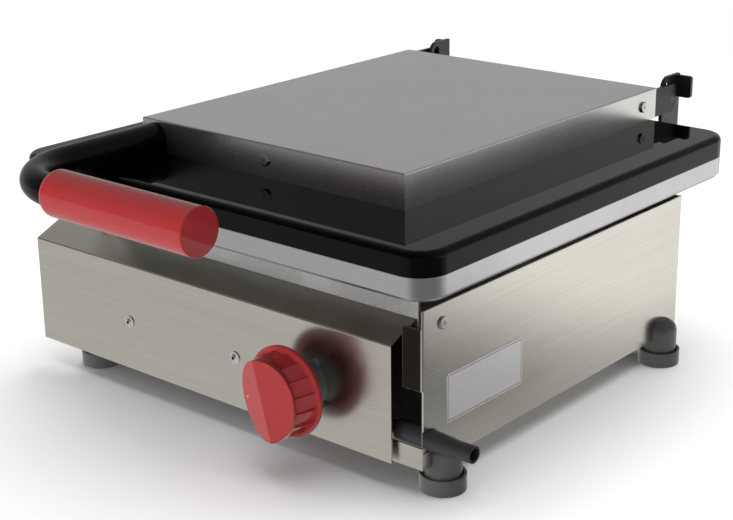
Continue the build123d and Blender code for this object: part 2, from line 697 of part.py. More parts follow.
# Grey ring between the cover and the knob
with BuildPart() as knob_bezel:
    with BuildSketch(Plane.XZ.offset(-COVER_FACE)):
        with Locations((GAS_X, GAS_Z)):
            Circle(BEZEL_R)
            Circle(BEZEL_BORE_R, mode=Mode.SUBTRACT)
    extrude(amount=BEZEL_L)
    chamfer(knob_bezel.faces().sort_by(Axis.Y)[0].outer_wire().edges(), BEZEL_CHAMFER)
keep(knob_bezel, "knob_bezel")

# Spring cup that slides in the valve with the spindle
CUP_FACE = COVER_BACK + VALVE_FLANGE_T

with BuildPart() as spring_cup:
    with BuildSketch(Plane.XZ.offset(-CUP_FACE)):
        with Locations((GAS_X, GAS_Z)):
            Circle(CUP_SPRING_R)
            Circle(STEM_R + RUN_GAP, mode=Mode.SUBTRACT)
    extrude(amount=-CUP_SPRING_T)
keep(spring_cup, "spring_cup")

# Spindle with its flat
KNOB_BACK = COVER_FACE - KNOB_STAND
STEM_FRONT = KNOB_BACK - STEM_IN_KNOB
STEM_REAR = COVER_BACK + STEM_DEPTH


def stem_section(gap):
    """Round spindle with one flat, at the knob's tilt."""
    with BuildSketch(Plane(origin=(GAS_X, STEM_FRONT, GAS_Z), x_dir=(1, 0, 0), z_dir=(0, 1, 0))) as section:
        Circle(STEM_R + gap)
        with Locations((0, STEM_R - STEM_FLAT + gap)):
            Rectangle(4 * STEM_R, 2 * STEM_R, align=(Align.CENTER, Align.MIN), mode=Mode.SUBTRACT)
    return section.sketch


with BuildPart() as valve_stem:
    with BuildSketch(Plane(origin=(GAS_X, COVER_FACE, GAS_Z), x_dir=(1, 0, 0), z_dir=(0, 1, 0))):
        Circle(STEM_R)
    extrude(amount=STEM_REAR - COVER_FACE)
    extrude(stem_section(0), amount=COVER_FACE - STEM_FRONT)
keep(valve_stem, "valve_stem")


# Knob: flange, saw-toothed skirt that narrows to an oval, and a roof with a ridge
def tooth_points(along, across, tooth):
    """Saw-toothed outline: each flank runs out slowly and steps back at once."""
    points = []
    for n in range(KNOB_TEETH):
        for turn, inward in ((n, tooth), (n + TOOTH_STEP, 0)):
            angle = math.radians(360 * turn / KNOB_TEETH)
            points.append(((along - inward) * math.cos(angle), (across - inward) * math.sin(angle)))
    return points


def knob_plane(distance):
    """Plane that far in front of the flange's back, with its x along the ridge."""
    ridge = (-math.sin(math.radians(KNOB_TILT)), 0, math.cos(math.radians(KNOB_TILT)))
    return Plane(origin=(GAS_X, KNOB_BACK - distance, GAS_Z), x_dir=ridge, z_dir=(0, -1, 0))


with BuildPart() as knob:
    with BuildSketch(knob_plane(0)):
        Circle(KNOB_FLANGE_R)
    extrude(amount=KNOB_FLANGE_T)
    chamfer(knob.faces().sort_by(Axis.Y)[0].edges(), KNOB_FLANGE_T / 3)
    with BuildSketch(knob_plane(KNOB_FLANGE_T)):
        with BuildLine():
            Polyline(*tooth_points(KNOB_BODY_R, KNOB_BODY_R, KNOB_TOOTH), close=True)
        make_face()
    with BuildSketch(knob_plane(KNOB_FLANGE_T + KNOB_BODY_L)):
        with BuildLine():
            Polyline(*tooth_points(*KNOB_OVAL, KNOB_TOOTH / 2), close=True)
        make_face()
    loft(ruled=True)
    with BuildSketch(knob_plane(KNOB_FLANGE_T + KNOB_BODY_L)):
        Ellipse(*KNOB_OVAL)
    extrude(amount=KNOB_RIDGE - KNOB_FLANGE_T - KNOB_BODY_L)
    for flank in (-1, 1):
        roof = knob_plane(KNOB_RIDGE)
        with BuildSketch(Plane(origin=roof.origin - roof.x_dir * KNOB_BODY_R, x_dir=roof.y_dir, z_dir=roof.x_dir)):
            with BuildLine():
                run = 2 * KNOB_BODY_R
                Polyline((0, 0), (flank * run, -KNOB_SLOPE * run), (flank * run, run), (0, run), close=True)
            make_face()
        extrude(amount=2 * KNOB_BODY_R, mode=Mode.SUBTRACT)
    with BuildSketch(knob_plane(0)):
        Circle(KNOB_BODY_R - KNOB_TOOTH - KNOB_WALL)
        Circle(KNOB_BOSS_R, mode=Mode.SUBTRACT)
    extrude(amount=KNOB_FLANGE_T + KNOB_BODY_L - KNOB_WALL, taper=KNOB_TAPER, mode=Mode.SUBTRACT)
    extrude(stem_section(RUN_GAP), amount=KNOB_BACK - STEM_FRONT, mode=Mode.SUBTRACT)
keep(knob, "knob")

# Hinge posts: flange on the back panel, foot plate, slotted blade and stop tab
SLOT_W = 2 * (BUSH_R + RUN_GAP)
SLOT_LOW = PIVOT_Z - SLOT_PLAY
SLOT_HIGH = PIVOT_Z + LIFT + SLOT_PLAY
TAB_TOP = POST_TOP - TAB_DROP
FOOT_TOP = POST_FOOT_Z + POST_FOOT_H

with BuildPart() as hinge_post_right:
    with BuildSketch(Plane.YZ.offset(CX + POST_X)):
        with BuildLine():
            rounding = [SHARP, POST_TOE_R, POST_KNEE_R, SHARP, POST_SHOULDER, POST_TOE_R, SHARP]
            FilletPolyline((BACK_FACE, POST_FOOT_Z), (BACK_FACE + POST_FOOT_H / 2, POST_FOOT_Z),
                           (POST_REAR, FOOT_TOP), (POST_REAR, POST_TOP), (POST_FRONT, POST_TOP),
                           (POST_FRONT, FOOT_TOP), (BACK_FACE, FOOT_TOP), close=True, radius=rounding)
        make_face()
        with Locations((PIVOT_Y, (SLOT_LOW + SLOT_HIGH) / 2)):
            SlotOverall(SLOT_HIGH - SLOT_LOW + SLOT_W, SLOT_W, rotation=90, mode=Mode.SUBTRACT)
    extrude(amount=STEEL)
    with BuildSketch(Plane.XZ.offset(-BACK_FACE)):
        with Locations((CX + POST_X + STEEL, POST_FOOT_Z)):
            Rectangle(POST_FLANGE, POST_FOOT_H, align=(Align.MAX, Align.MIN))
        with Locations([(CX + x, z) for x, z in POST_SCREWS if x > 0]):
            Circle(SCREW_R + SCREW_GAP, mode=Mode.SUBTRACT)
    extrude(amount=-STEEL)
    with BuildSketch(Plane.XZ.offset(-POST_REAR)):
        with Locations((CX + POST_X, TAB_TOP)):
            Rectangle(STEEL + TAB_OUT, TAB_H, align=(Align.MIN, Align.MAX))
    extrude(amount=STEEL)
    fillet(hinge_post_right.edges().filter_by(Axis.Y).group_by(Axis.X)[-1], TAB_CORNER)
keep(hinge_post_right, "hinge_post_right")
mirrored(hinge_post_right, "hinge_post_left")


# Screws, each a separate solid with a rounded head
def screws(name, places, length):
    """Round-head screws at places of head seat and outward direction."""
    with BuildPart() as group:
        for seat, outward in places:
            face = Plane(origin=seat, z_dir=outward)
            with BuildSketch(face):
                Circle(SCREW_HEAD_R)
            extrude(amount=SCREW_HEAD_H)
            crown = face.from_local_coords((0, 0, SCREW_HEAD_H))
            rim = group.edges().filter_by(GeomType.CIRCLE).sort_by_distance(crown)
            fillet(rim[0], SCREW_HEAD_H * 0.6)
            with BuildSketch(face):
                Circle(SCREW_R)
            extrude(amount=-length)
    keep(group, name)


screws("panel_screws",
       [((CX + side * SIDE, *place), (side, 0, 0)) for side, place in PANEL_SCREWS.items()], SCREW_L)
screws("post_screws",
       [((CX + x, BACK_FACE + STEEL, z), (0, 1, 0)) for x, z in POST_SCREWS], SCREW_L)

# Bushes that rise and fall in the posts' slots
with BuildPart() as slot_bush_right:
    inner_x = CX + POST_X - RUN_GAP - BUSH_FLANGE_T
    bush_end = Plane.YZ.offset(inner_x)
    with BuildSketch(bush_end):
        with Locations((PIVOT_Y, PIVOT_Z)):
            Circle(BUSH_FLANGE_R)
    extrude(amount=BUSH_FLANGE_T)
    with BuildSketch(bush_end):
        with Locations((PIVOT_Y, PIVOT_Z)):
            Circle(BUSH_R)
    extrude(amount=2 * BUSH_FLANGE_T + STEEL + 2 * RUN_GAP)
    with BuildSketch(bush_end.offset(BUSH_FLANGE_T + STEEL + 2 * RUN_GAP)):
        with Locations((PIVOT_Y, PIVOT_Z)):
            Circle(BUSH_FLANGE_R)
    extrude(amount=BUSH_FLANGE_T)
    with BuildSketch(bush_end):
        with Locations((PIVOT_Y, PIVOT_Z)):
            Circle(ROD_R + RUN_GAP)
    extrude(amount=2 * BUSH_FLANGE_T + STEEL + 2 * RUN_GAP, mode=Mode.SUBTRACT)
keep(slot_bush_right, "slot_bush_right")
mirrored(slot_bush_right, "slot_bush_left")

# Pivot rod through both arms and both bushes
with BuildPart() as pivot_rod:
    with BuildSketch(MIDDLE):
        with Locations((PIVOT_Y, PIVOT_Z)):
            Circle(ROD_R)
    extrude(amount=ARM_X + STEEL, both=True)
keep(pivot_rod, "pivot_rod")

# Press plate, cast with pockets above and a bevelled lower edge
LID_D = LID_FRONT + LID_REAR
LID_MID = (CX, CY + (LID_REAR - LID_FRONT) / 2)
BOLT_X = ARM_X + STEEL - ARM_FOOT / 2 - STEEL / 2
BOLTS = [(CX + side * BOLT_X, CY + y) for side in (-1, 1) for y in BOLT_Y]
POCKETS = 3
POCKET_W = (LID_W - 2 * PRESS_RIM - (POCKETS - 1) * PRESS_RIB) / POCKETS
POCKET_D = (LID_D - 2 * PRESS_RIM - (POCKETS - 1) * PRESS_RIB) / POCKETS

with BuildSketch(Plane.XY.offset(COOK_Z + PRESS_FLOOR)) as pockets:
    with Locations(LID_MID):
        with GridLocations(POCKET_W + PRESS_RIB, POCKET_D + PRESS_RIB, POCKETS, POCKETS):
            RectangleRounded(POCKET_W, POCKET_D, PRESS_RIB)
    with Locations(BOLTS):
        Circle(BOSS_R, mode=Mode.SUBTRACT)

with BuildPart() as press_plate:
    with BuildSketch(Plane.XY.offset(COOK_Z)):
        with Locations(LID_MID):
            RectangleRounded(LID_W, LID_D, LID_CORNER)
    extrude(amount=PRESS_H)
    chamfer(press_plate.faces().sort_by(Axis.Z)[0].edges(), PRESS_CHAMFER)
    extrude(pockets.sketch, amount=PRESS_H - PRESS_FLOOR, mode=Mode.SUBTRACT)
    with BuildSketch(Plane.XY.offset(PAN_Z)):
        with Locations(BOLTS):
            Circle(BOLT_R)
    extrude(amount=-(PRESS_H - PRESS_FLOOR), mode=Mode.SUBTRACT)
keep(press_plate, "press_plate")

# Enamelled pan over the press plate
with BuildPart() as lid_pan:
    with BuildSketch(Plane.XY.offset(PAN_Z)):
        with Locations(LID_MID):
            RectangleRounded(LID_W, LID_D, LID_CORNER)
    extrude(amount=PAN_H)
    fillet(lid_pan.faces().sort_by(Axis.Z)[-1].edges(), PAN_EDGE)
    with BuildSketch(Plane.XY.offset(PAN_Z)):
        with Locations(LID_MID):
            RectangleRounded(LID_W - 2 * ENAMEL, LID_D - 2 * ENAMEL, LID_CORNER - ENAMEL)
    extrude(amount=PAN_H - PAN_EDGE, mode=Mode.SUBTRACT)
    with BuildSketch(Plane.XY.offset(SLAB_Z - PAN_EDGE)):
        with Locations(LID_MID):
            RectangleRounded(LID_W - 2 * PAN_EDGE, LID_D - 2 * PAN_EDGE, LID_CORNER - PAN_EDGE)
    extrude(amount=PAN_EDGE - ENAMEL, mode=Mode.SUBTRACT)
    with BuildSketch(Plane.XY.offset(SLAB_Z - ENAMEL)):
        with Locations(BOLTS):
            Circle(BOLT_R + SCREW_GAP)
    extrude(amount=ENAMEL, mode=Mode.SUBTRACT)
keep(lid_pan, "lid_pan")

# Insulation between the plate and the pan, packed into the plate's pockets
with BuildPart() as insulation_pad:
    with BuildSketch(Plane.XY.offset(PAN_Z)):
        with Locations(LID_MID):
            RectangleRounded(LID_W - 2 * PRESS_RIM, LID_D - 2 * PRESS_RIM, PRESS_RIB)
        with Locations(BOLTS):
            Circle(BOSS_R, mode=Mode.SUBTRACT)
    extrude(amount=PAN_H - ENAMEL - PAD_GAP)
    extrude(pockets.sketch, amount=PRESS_H - PRESS_FLOOR)
keep(insulation_pad, "insulation_pad")

SIDE_SCREW = (CY + HOOD_REAR - SIDE_SCREW_BACK, SLAB_Z + HOOD_SCREW_Z)

# Lid arms: flat bars with a folded foot inside the hood and a round tail at the pivot
with BuildPart() as lid_arm_right:
    with BuildSketch(Plane.YZ.offset(CX + ARM_X)):
        with BuildLine():
            FilletPolyline((CY + ARM_FRONT, SLAB_Z), (PIVOT_Y + ARM_TAIL, SLAB_Z),
                           (PIVOT_Y + ARM_TAIL, SLAB_Z + ARM_H), (CY + ARM_FRONT, SLAB_Z + ARM_H),
                           close=True, radius=[SHARP, ARM_TAIL_R, ARM_TAIL_R, ARM_NOSE_R])
        make_face()
        with Locations((PIVOT_Y, PIVOT_Z)):
            Circle(ROD_R, mode=Mode.SUBTRACT)
        with Locations(SIDE_SCREW):
            Circle(SCREW_R + SCREW_GAP, mode=Mode.SUBTRACT)
    extrude(amount=STEEL)
    with BuildSketch(Plane.XY.offset(SLAB_Z)):
        foot_rear = CY + HOOD_REAR - 4 * SHEET
        with Locations((CX + ARM_X + STEEL, CY + ARM_FRONT)):
            Rectangle(ARM_FOOT, foot_rear - CY - ARM_FRONT, align=(Align.MAX, Align.MIN))
        with Locations([place for place in BOLTS if place[0] > CX]):
            Circle(BOLT_R + SCREW_GAP, mode=Mode.SUBTRACT)
    extrude(amount=STEEL)
keep(lid_arm_right, "lid_arm_right")
mirrored(lid_arm_right, "lid_arm_left")

# Bolts from the arms through the pan into the press plate
with BuildPart() as lid_bolts:
    with BuildSketch(Plane.XY.offset(SLAB_Z + STEEL)):
        with Locations(BOLTS):
            RegularPolygon(BOLT_HEAD_R, 6)
    extrude(amount=BOLT_HEAD_H)
    with BuildSketch(Plane.XY.offset(SLAB_Z + STEEL)):
        with Locations(BOLTS):
            Circle(BOLT_R)
    extrude(amount=-(STEEL + PAN_H + PRESS_H - PRESS_FLOOR - BOLT_END))
keep(lid_bolts, "lid_bolts")

# Hood: folded box, open below, with inward feet, the tube's hole and slots for the arms
HOOD_D = HOOD_FRONT + HOOD_REAR
HOOD_MID = (CX, CY + (HOOD_REAR - HOOD_FRONT) / 2)
HOOD_TOP = SLAB_Z + HOOD_H
HOOD_SCREWS = [((CX, CY - HOOD_FRONT, SLAB_Z + HOOD_SCREW_Z), (0, -1, 0))]
HOOD_SCREWS += [((CX + side * HOOD_W / 2, *SIDE_SCREW), (side, 0, 0)) for side in (-1, 1)]

with BuildPart() as hood:
    with BuildSketch(Plane.XY.offset(SLAB_Z)):
        with Locations(HOOD_MID):
            Rectangle(HOOD_W, HOOD_D)
    extrude(amount=HOOD_H)
    fillet(hood.faces().sort_by(Axis.Z)[-1].edges(), SHEET)
    with BuildSketch(Plane.XY.offset(SLAB_Z)):
        with Locations(HOOD_MID):
            Rectangle(HOOD_W - 2 * SHEET, HOOD_D - 2 * SHEET)
    extrude(amount=HOOD_H - SHEET, mode=Mode.SUBTRACT)
    with BuildSketch(Plane.XZ.offset(-(CY - HOOD_FRONT))):
        with Locations((CX + TUBE_X, TUBE_Z)):
            Circle(TUBE_R + RUN_GAP)
        with Locations((CX + TUBE_X, SLAB_Z)):
            Rectangle(2 * (TUBE_R + RUN_GAP), TUBE_Z - SLAB_Z, align=(Align.CENTER, Align.MIN))
    extrude(amount=-SHEET, mode=Mode.SUBTRACT)
    with BuildSketch(Plane.XZ.offset(-(CY + HOOD_REAR))):
        for side in (-1, 1):
            with Locations((CX + side * (ARM_X + STEEL / 2), SLAB_Z)):
                Rectangle(STEEL + 2 * RUN_GAP, ARM_H + PASS_GAP, align=(Align.CENTER, Align.MIN))
    extrude(amount=SHEET, mode=Mode.SUBTRACT)
    for seat, outward in HOOD_SCREWS:
        with BuildSketch(Plane(origin=seat, z_dir=outward)):
            Circle(SCREW_R + SCREW_GAP)
        extrude(amount=-SHEET, mode=Mode.SUBTRACT)
keep(hood, "hood")
screws("hood_screws", HOOD_SCREWS, SHEET + PASS_GAP + STEEL)

# Angle that takes the hood's front screw
with BuildPart() as hood_bracket:
    bracket_w, bracket_d, bracket_h = HOOD_BRACKET
    with BuildSketch(Plane.YZ.offset(CX - bracket_w / 2)):
        wall_y = CY - HOOD_FRONT + SHEET
        wall_foot = (wall_y, SLAB_Z)
        folded([(wall_y, SLAB_Z + bracket_h), wall_foot, (wall_y + bracket_d, SLAB_Z)], SHEET, Side.LEFT)
    extrude(amount=bracket_w)
    with BuildSketch(Plane.XZ.offset(-wall_y)):
        with Locations((CX, SLAB_Z + HOOD_SCREW_Z)):
            Circle(SCREW_R + SCREW_GAP)
    extrude(amount=-SHEET, mode=Mode.SUBTRACT)
keep(hood_bracket, "hood_bracket")

# Handle tube: out of the hood, forward, and round into the grip
TUBE_LINE_X = CX + TUBE_X
GRIP_Y = CY - GRIP_OUT
TUBE_END_X = CX + GRIP_LEFT + TUBE_IN_GRIP

with BuildPart() as handle_tube:
    with BuildLine(Plane.XY.offset(TUBE_Z)) as tube_route:
        FilletPolyline((TUBE_LINE_X, CY + TUBE_INNER_END), (TUBE_LINE_X, GRIP_Y), (TUBE_END_X, GRIP_Y),
                       radius=TUBE_BEND)
    with BuildSketch(Plane(origin=(TUBE_LINE_X, CY + TUBE_INNER_END, TUBE_Z), z_dir=(0, -1, 0))):
        Circle(TUBE_R)
        Circle(TUBE_R - TUBE_WALL, mode=Mode.SUBTRACT)
    sweep(path=tube_route.wires()[0])
keep(handle_tube, "handle_tube")

# Straps that hold the tube down inside the hood
for place_name, strap_y in zip(("front", "rear"), STRAP_Y):
    with BuildPart() as strap:
        with BuildSketch(Plane.XZ.offset(-(CY + strap_y))):
            with Locations((TUBE_LINE_X, TUBE_Z)):
                Circle(TUBE_R + STRAP_T)
            with Locations((TUBE_LINE_X, SLAB_Z)):
                Rectangle(2 * (TUBE_R + STRAP_T), TUBE_Z - SLAB_Z, align=(Align.CENTER, Align.MIN))
                Rectangle(TUBE_R + STRAP_T + STRAP_EAR, STRAP_T, align=(Align.MIN, Align.MIN))
            with Locations((TUBE_LINE_X, TUBE_Z)):
                Circle(TUBE_R, mode=Mode.SUBTRACT)
            with Locations((TUBE_LINE_X, SLAB_Z)):
                Rectangle(2 * TUBE_R, TUBE_Z - SLAB_Z, align=(Align.CENTER, Align.MIN), mode=Mode.SUBTRACT)
                Rectangle(4 * TUBE_R, TUBE_R, align=(Align.CENTER, Align.MAX), mode=Mode.SUBTRACT)
        extrude(amount=-STRAP_L)
    keep(strap, f"handle_strap_{place_name}")

# Grip, turned from one piece, blind at its right end
with BuildPart() as handle_grip:
    with BuildSketch(Plane.YZ.offset(CX + GRIP_LEFT)):
        with Locations((GRIP_Y, TUBE_Z)):
            Circle(GRIP_R)
    extrude(amount=GRIP_L)
    fillet(handle_grip.faces().sort_by(Axis.X)[0].edges(), GRIP_ROUND)
    chamfer(handle_grip.faces().sort_by(Axis.X)[-1].edges(), GRIP_CHAMFER)
    with BuildSketch(Plane.YZ.offset(CX + GRIP_LEFT)):
        with Locations((GRIP_Y, TUBE_Z)):
            Circle(TUBE_R)
    extrude(amount=TUBE_IN_GRIP, mode=Mode.SUBTRACT)
keep(handle_grip, "handle_grip")
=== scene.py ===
"""Looks of a countertop gas griddle with a hinged press lid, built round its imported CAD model.

The CAD solids carry the shapes. This script gives each of them its finish, adds the small fittings
that are too fine for the solids, and sets the object on a pale studio floor in front of a camera.
"""

import logging
import math
from dataclasses import dataclass, field
from enum import Enum
from typing import Callable, Iterable, Sequence

import bmesh
import bpy
from mathutils import Matrix, Vector


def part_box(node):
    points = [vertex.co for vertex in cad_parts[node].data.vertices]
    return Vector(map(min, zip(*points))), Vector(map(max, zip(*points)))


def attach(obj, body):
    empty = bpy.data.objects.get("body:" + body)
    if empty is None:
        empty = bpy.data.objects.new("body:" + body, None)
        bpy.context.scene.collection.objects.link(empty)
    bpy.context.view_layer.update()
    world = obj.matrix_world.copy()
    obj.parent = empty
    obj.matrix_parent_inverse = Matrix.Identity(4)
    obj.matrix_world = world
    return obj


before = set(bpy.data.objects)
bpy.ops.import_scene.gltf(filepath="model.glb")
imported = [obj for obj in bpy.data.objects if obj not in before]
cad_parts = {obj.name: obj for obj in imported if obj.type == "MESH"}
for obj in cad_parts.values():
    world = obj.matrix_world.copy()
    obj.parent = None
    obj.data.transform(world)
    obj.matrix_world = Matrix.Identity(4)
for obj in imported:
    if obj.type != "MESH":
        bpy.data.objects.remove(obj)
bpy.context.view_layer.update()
MM = 0.001
logging.basicConfig(level=logging.INFO, format="%(name)s: %(message)s")
log = logging.getLogger("griddle")

Colour = tuple[float, float, float, float]
Pair = tuple[float, float]
Triple = tuple[float, float, float]
Socket = bpy.types.NodeSocket


def rgb(red: float, green: float, blue: float) -> Colour:
    """A colour as the shader sockets take it, from linear red, green and blue."""
    return (red, green, blue, 1.0)


def grey(level: float) -> Colour:
    """A neutral colour."""
    return rgb(level, level, level)


class Axis(Enum):
    """The direction that a grain runs in."""

    X = (1.0, 0.0, 0.0)
    Y = (0.0, 1.0, 0.0)
    Z = (0.0, 0.0, 1.0)


class Side(Enum):
    """A side of the object, as the way that its face looks."""

    FRONT = (0, -1, 0)
    REAR = (0, 1, 0)
    RIGHT = (1, 0, 0)
    LEFT = (-1, 0, 0)


class Graph:
    """Adds and joins the nodes of one material, world or group."""

    def __init__(self, tree: bpy.types.NodeTree) -> None:
        """Keeps the tree that is being wired."""
        self.tree = tree

    @classmethod
    def emptied(cls, owner: bpy.types.Material | bpy.types.World) -> "Graph":
        """The graph of a new material or world, cleared of the nodes that it came with."""
        owner.use_nodes = True
        owner.node_tree.nodes.clear()
        return cls(owner.node_tree)

    def node(self, kind: str, inputs: dict | None = None, **settings: object) -> bpy.types.Node:
        """Adds a node.

        Args:
            kind: Blender's name of the node's type.
            inputs: what each input, by name or number, takes: a value or another node's output.
            **settings: the node's own settings.

        Returns:
            The new node.
        """
        made = self.tree.nodes.new(kind)
        for name, value in settings.items():
            setattr(made, name, value)
        for name, value in (inputs or {}).items():
            self.feed(made.inputs[name], value)
        return made

    def feed(self, socket: Socket, value: object) -> None:
        """Joins an output to a socket, or sets the socket's own value.

        Args:
            socket: the input.
            value: an output to join, or a plain value.
        """
        if isinstance(value, bpy.types.NodeSocket):
            self.tree.links.new(value, socket)
        else:
            socket.default_value = value

    def calc(self, kind: str, *values: object, clamp: bool = False) -> Socket:
        """One step of arithmetic.

        Args:
            kind: the Math node's operation.
            *values: its operands.
            clamp: whether the result is held between 0 and 1.

        Returns:
            The result's socket.
        """
        operands = dict(enumerate(values))
        return self.node("ShaderNodeMath", operands, operation=kind, use_clamp=clamp).outputs[0]

    def vector(self, kind: str, *values: object) -> bpy.types.Node:
        """One step of vector arithmetic.

        Args:
            kind: the Vector Math node's operation.
            *values: its operands.

        Returns:
            The node, with its result at Vector or at Value.
        """
        return self.node("ShaderNodeVectorMath", dict(enumerate(values)), operation=kind)

    def split(self, point: Socket) -> dict[str, Socket]:
        """The coordinates of a point, by X, Y and Z."""
        parts = self.node("ShaderNodeSeparateXYZ", {"Vector": point})
        return {key: parts.outputs[key] for key in "XYZ"}

    def ease(self, value: Socket, low: float, high: float,
             to_low: float = 0.0, to_high: float = 1.0) -> Socket:
        """A smooth step of a value.

        Args:
            value: what is mapped.
            low: where the step starts.
            high: where it ends.
            to_low: the result before it.
            to_high: the result after it.

        Returns:
            The result's socket.
        """
        given = {"Value": value, "From Min": low, "From Max": high,
                 "To Min": to_low, "To Max": to_high}
        made = self.node("ShaderNodeMapRange", given, interpolation_type="SMOOTHSTEP")
        return made.outputs["Result"]

    def blend(self, share: object, first: object, second: object) -> Socket:
        """Mixes two colours.

        Args:
            share: how much of the second colour shows.
            first: the colour below.
            second: the colour above.

        Returns:
            The mixed colour's socket.
        """
        given = {0: share, 6: first, 7: second}
        return self.node("ShaderNodeMix", given, data_type="RGBA").outputs[2]

    def layer(self, share: object, below: Socket, above: Socket) -> Socket:
        """Mixes two shaders.

        Args:
            share: how much of the upper shader shows.
            below: the lower shader.
            above: the upper shader.

        Returns:
            The mixed shader's socket.
        """
        return self.node("ShaderNodeMixShader", {0: share, 1: below, 2: above}).outputs[0]

    def noise(self, point: Socket, scale: object, detail: float = 3.0, roughness: float = 0.5,
              distortion: float = 0.0) -> Socket:
        """Noise at a point.

        Args:
            point: the point.
            scale: waves per metre.
            detail: octaves.
            roughness: how strong the finer octaves are.
            distortion: how far the waves are pulled about.

        Returns:
            The noise value's socket.
        """
        given = {"Vector": point, "Scale": scale, "Detail": detail, "Roughness": roughness,
                 "Distortion": distortion}
        return self.node("ShaderNodeTexNoise", given).outputs["Fac"]


class Effects:
    """The shader node groups that more than one finish uses, each built once.

    Attributes:
        FINE_LINES: lines of a grain per metre.
        WIDE_BANDS: its bands per metre.
        WORN_SPOTS: spots per metre that break up a worn edge.
        PATCHES: wiped patches per metre.
    """

    FINE_LINES = 900.0
    WIDE_BANDS = 90.0
    WORN_SPOTS = 420.0
    PATCHES = 14.0
    _built: dict[str, bpy.types.NodeTree] = {}

    @classmethod
    def _group(cls, name: str, inputs: dict[str, float | Triple], outputs: Sequence[str]) -> tuple:
        """Starts a node group.

        Args:
            name: the group's name.
            inputs: each input's first value, a number or a vector.
            outputs: the names of its value outputs.

        Returns:
            The graph, what the group is given and what it has to be fed.
        """
        tree = bpy.data.node_groups.new(name, "ShaderNodeTree")
        for key, value in inputs.items():
            kind = "NodeSocketFloat" if isinstance(value, float) else "NodeSocketVector"
            socket = tree.interface.new_socket(name=key, in_out="INPUT", socket_type=kind)
            socket.default_value = value
        for key in outputs:
            tree.interface.new_socket(name=key, in_out="OUTPUT", socket_type="NodeSocketFloat")
        cls._built[name] = tree
        graph = Graph(tree)
        given = graph.node("NodeGroupInput").outputs
        return graph, given, graph.node("NodeGroupOutput").inputs

    @classmethod
    def grain(cls) -> bpy.types.NodeTree:
        """Brushed or rolled grain: fine lines and faint wider bands along one direction."""
        name = "brushed_grain"
        if name not in cls._built:
            graph, given, result = cls._group(
                name,
                {"Vector": (0.0, 0.0, 0.0), "Stretch": (1.0, 1.0, 1.0),
                 "Lines": cls.FINE_LINES, "Bands": cls.WIDE_BANDS},
                ["Lines", "Bands"],
            )
            drawn = graph.vector("MULTIPLY", given["Vector"], given["Stretch"]).outputs["Vector"]
            for key in ("Lines", "Bands"):
                graph.feed(result[key], graph.noise(drawn, given[key], detail=1.5))
        return cls._built[name]

    @classmethod
    def wear(cls) -> bpy.types.NodeTree:
        """Where a surface turns over an edge, broken up by noise."""
        name = "edge_wear"
        if name not in cls._built:
            graph, given, result = cls._group(
                name,
                {"Vector": (0.0, 0.0, 0.0), "Radius": 0.8 * MM, "Broken": 0.4},
                ["Edge"],
            )
            rounded = graph.node("ShaderNodeBevel", {"Radius": given["Radius"]}, samples=4)
            flat = graph.node("ShaderNodeNewGeometry")
            facing = graph.vector("DOT_PRODUCT", rounded.outputs["Normal"],
                                  flat.outputs["Normal"]).outputs["Value"]
            edge = graph.ease(facing, 0.99, 0.8)
            spots = graph.ease(graph.noise(given["Vector"], cls.WORN_SPOTS, detail=4.0), 0.35, 0.6)
            spared = graph.calc("MULTIPLY", given["Broken"], graph.calc("SUBTRACT", 1.0, spots))
            kept = graph.calc("SUBTRACT", 1.0, spared)
            graph.feed(result["Edge"], graph.calc("MULTIPLY", edge, kept, clamp=True))
        return cls._built[name]

    @classmethod
    def smudge(cls) -> bpy.types.NodeTree:
        """Soft cloudy patches, as on a surface that was wiped by hand."""
        name = "wiped_smudge"
        if name not in cls._built:
            graph, given, result = cls._group(
                name, {"Vector": (0.0, 0.0, 0.0), "Scale": cls.PATCHES}, ["Cloud"],
            )
            cloud = graph.noise(given["Vector"], given["Scale"], 4.0, 0.55, distortion=0.6)
            graph.feed(result["Cloud"], graph.ease(cloud, 0.3, 0.7))
        return cls._built[name]


LINES_SHARE = 0.6    # part of a grain's tone that its fine lines give
BANDS_SHARE = 0.4    # part that its wide bands give
DRAWN_OUT = 0.012    # scale along a grain, beside 1 across it
LIT_EDGE_SAMPLES = 6


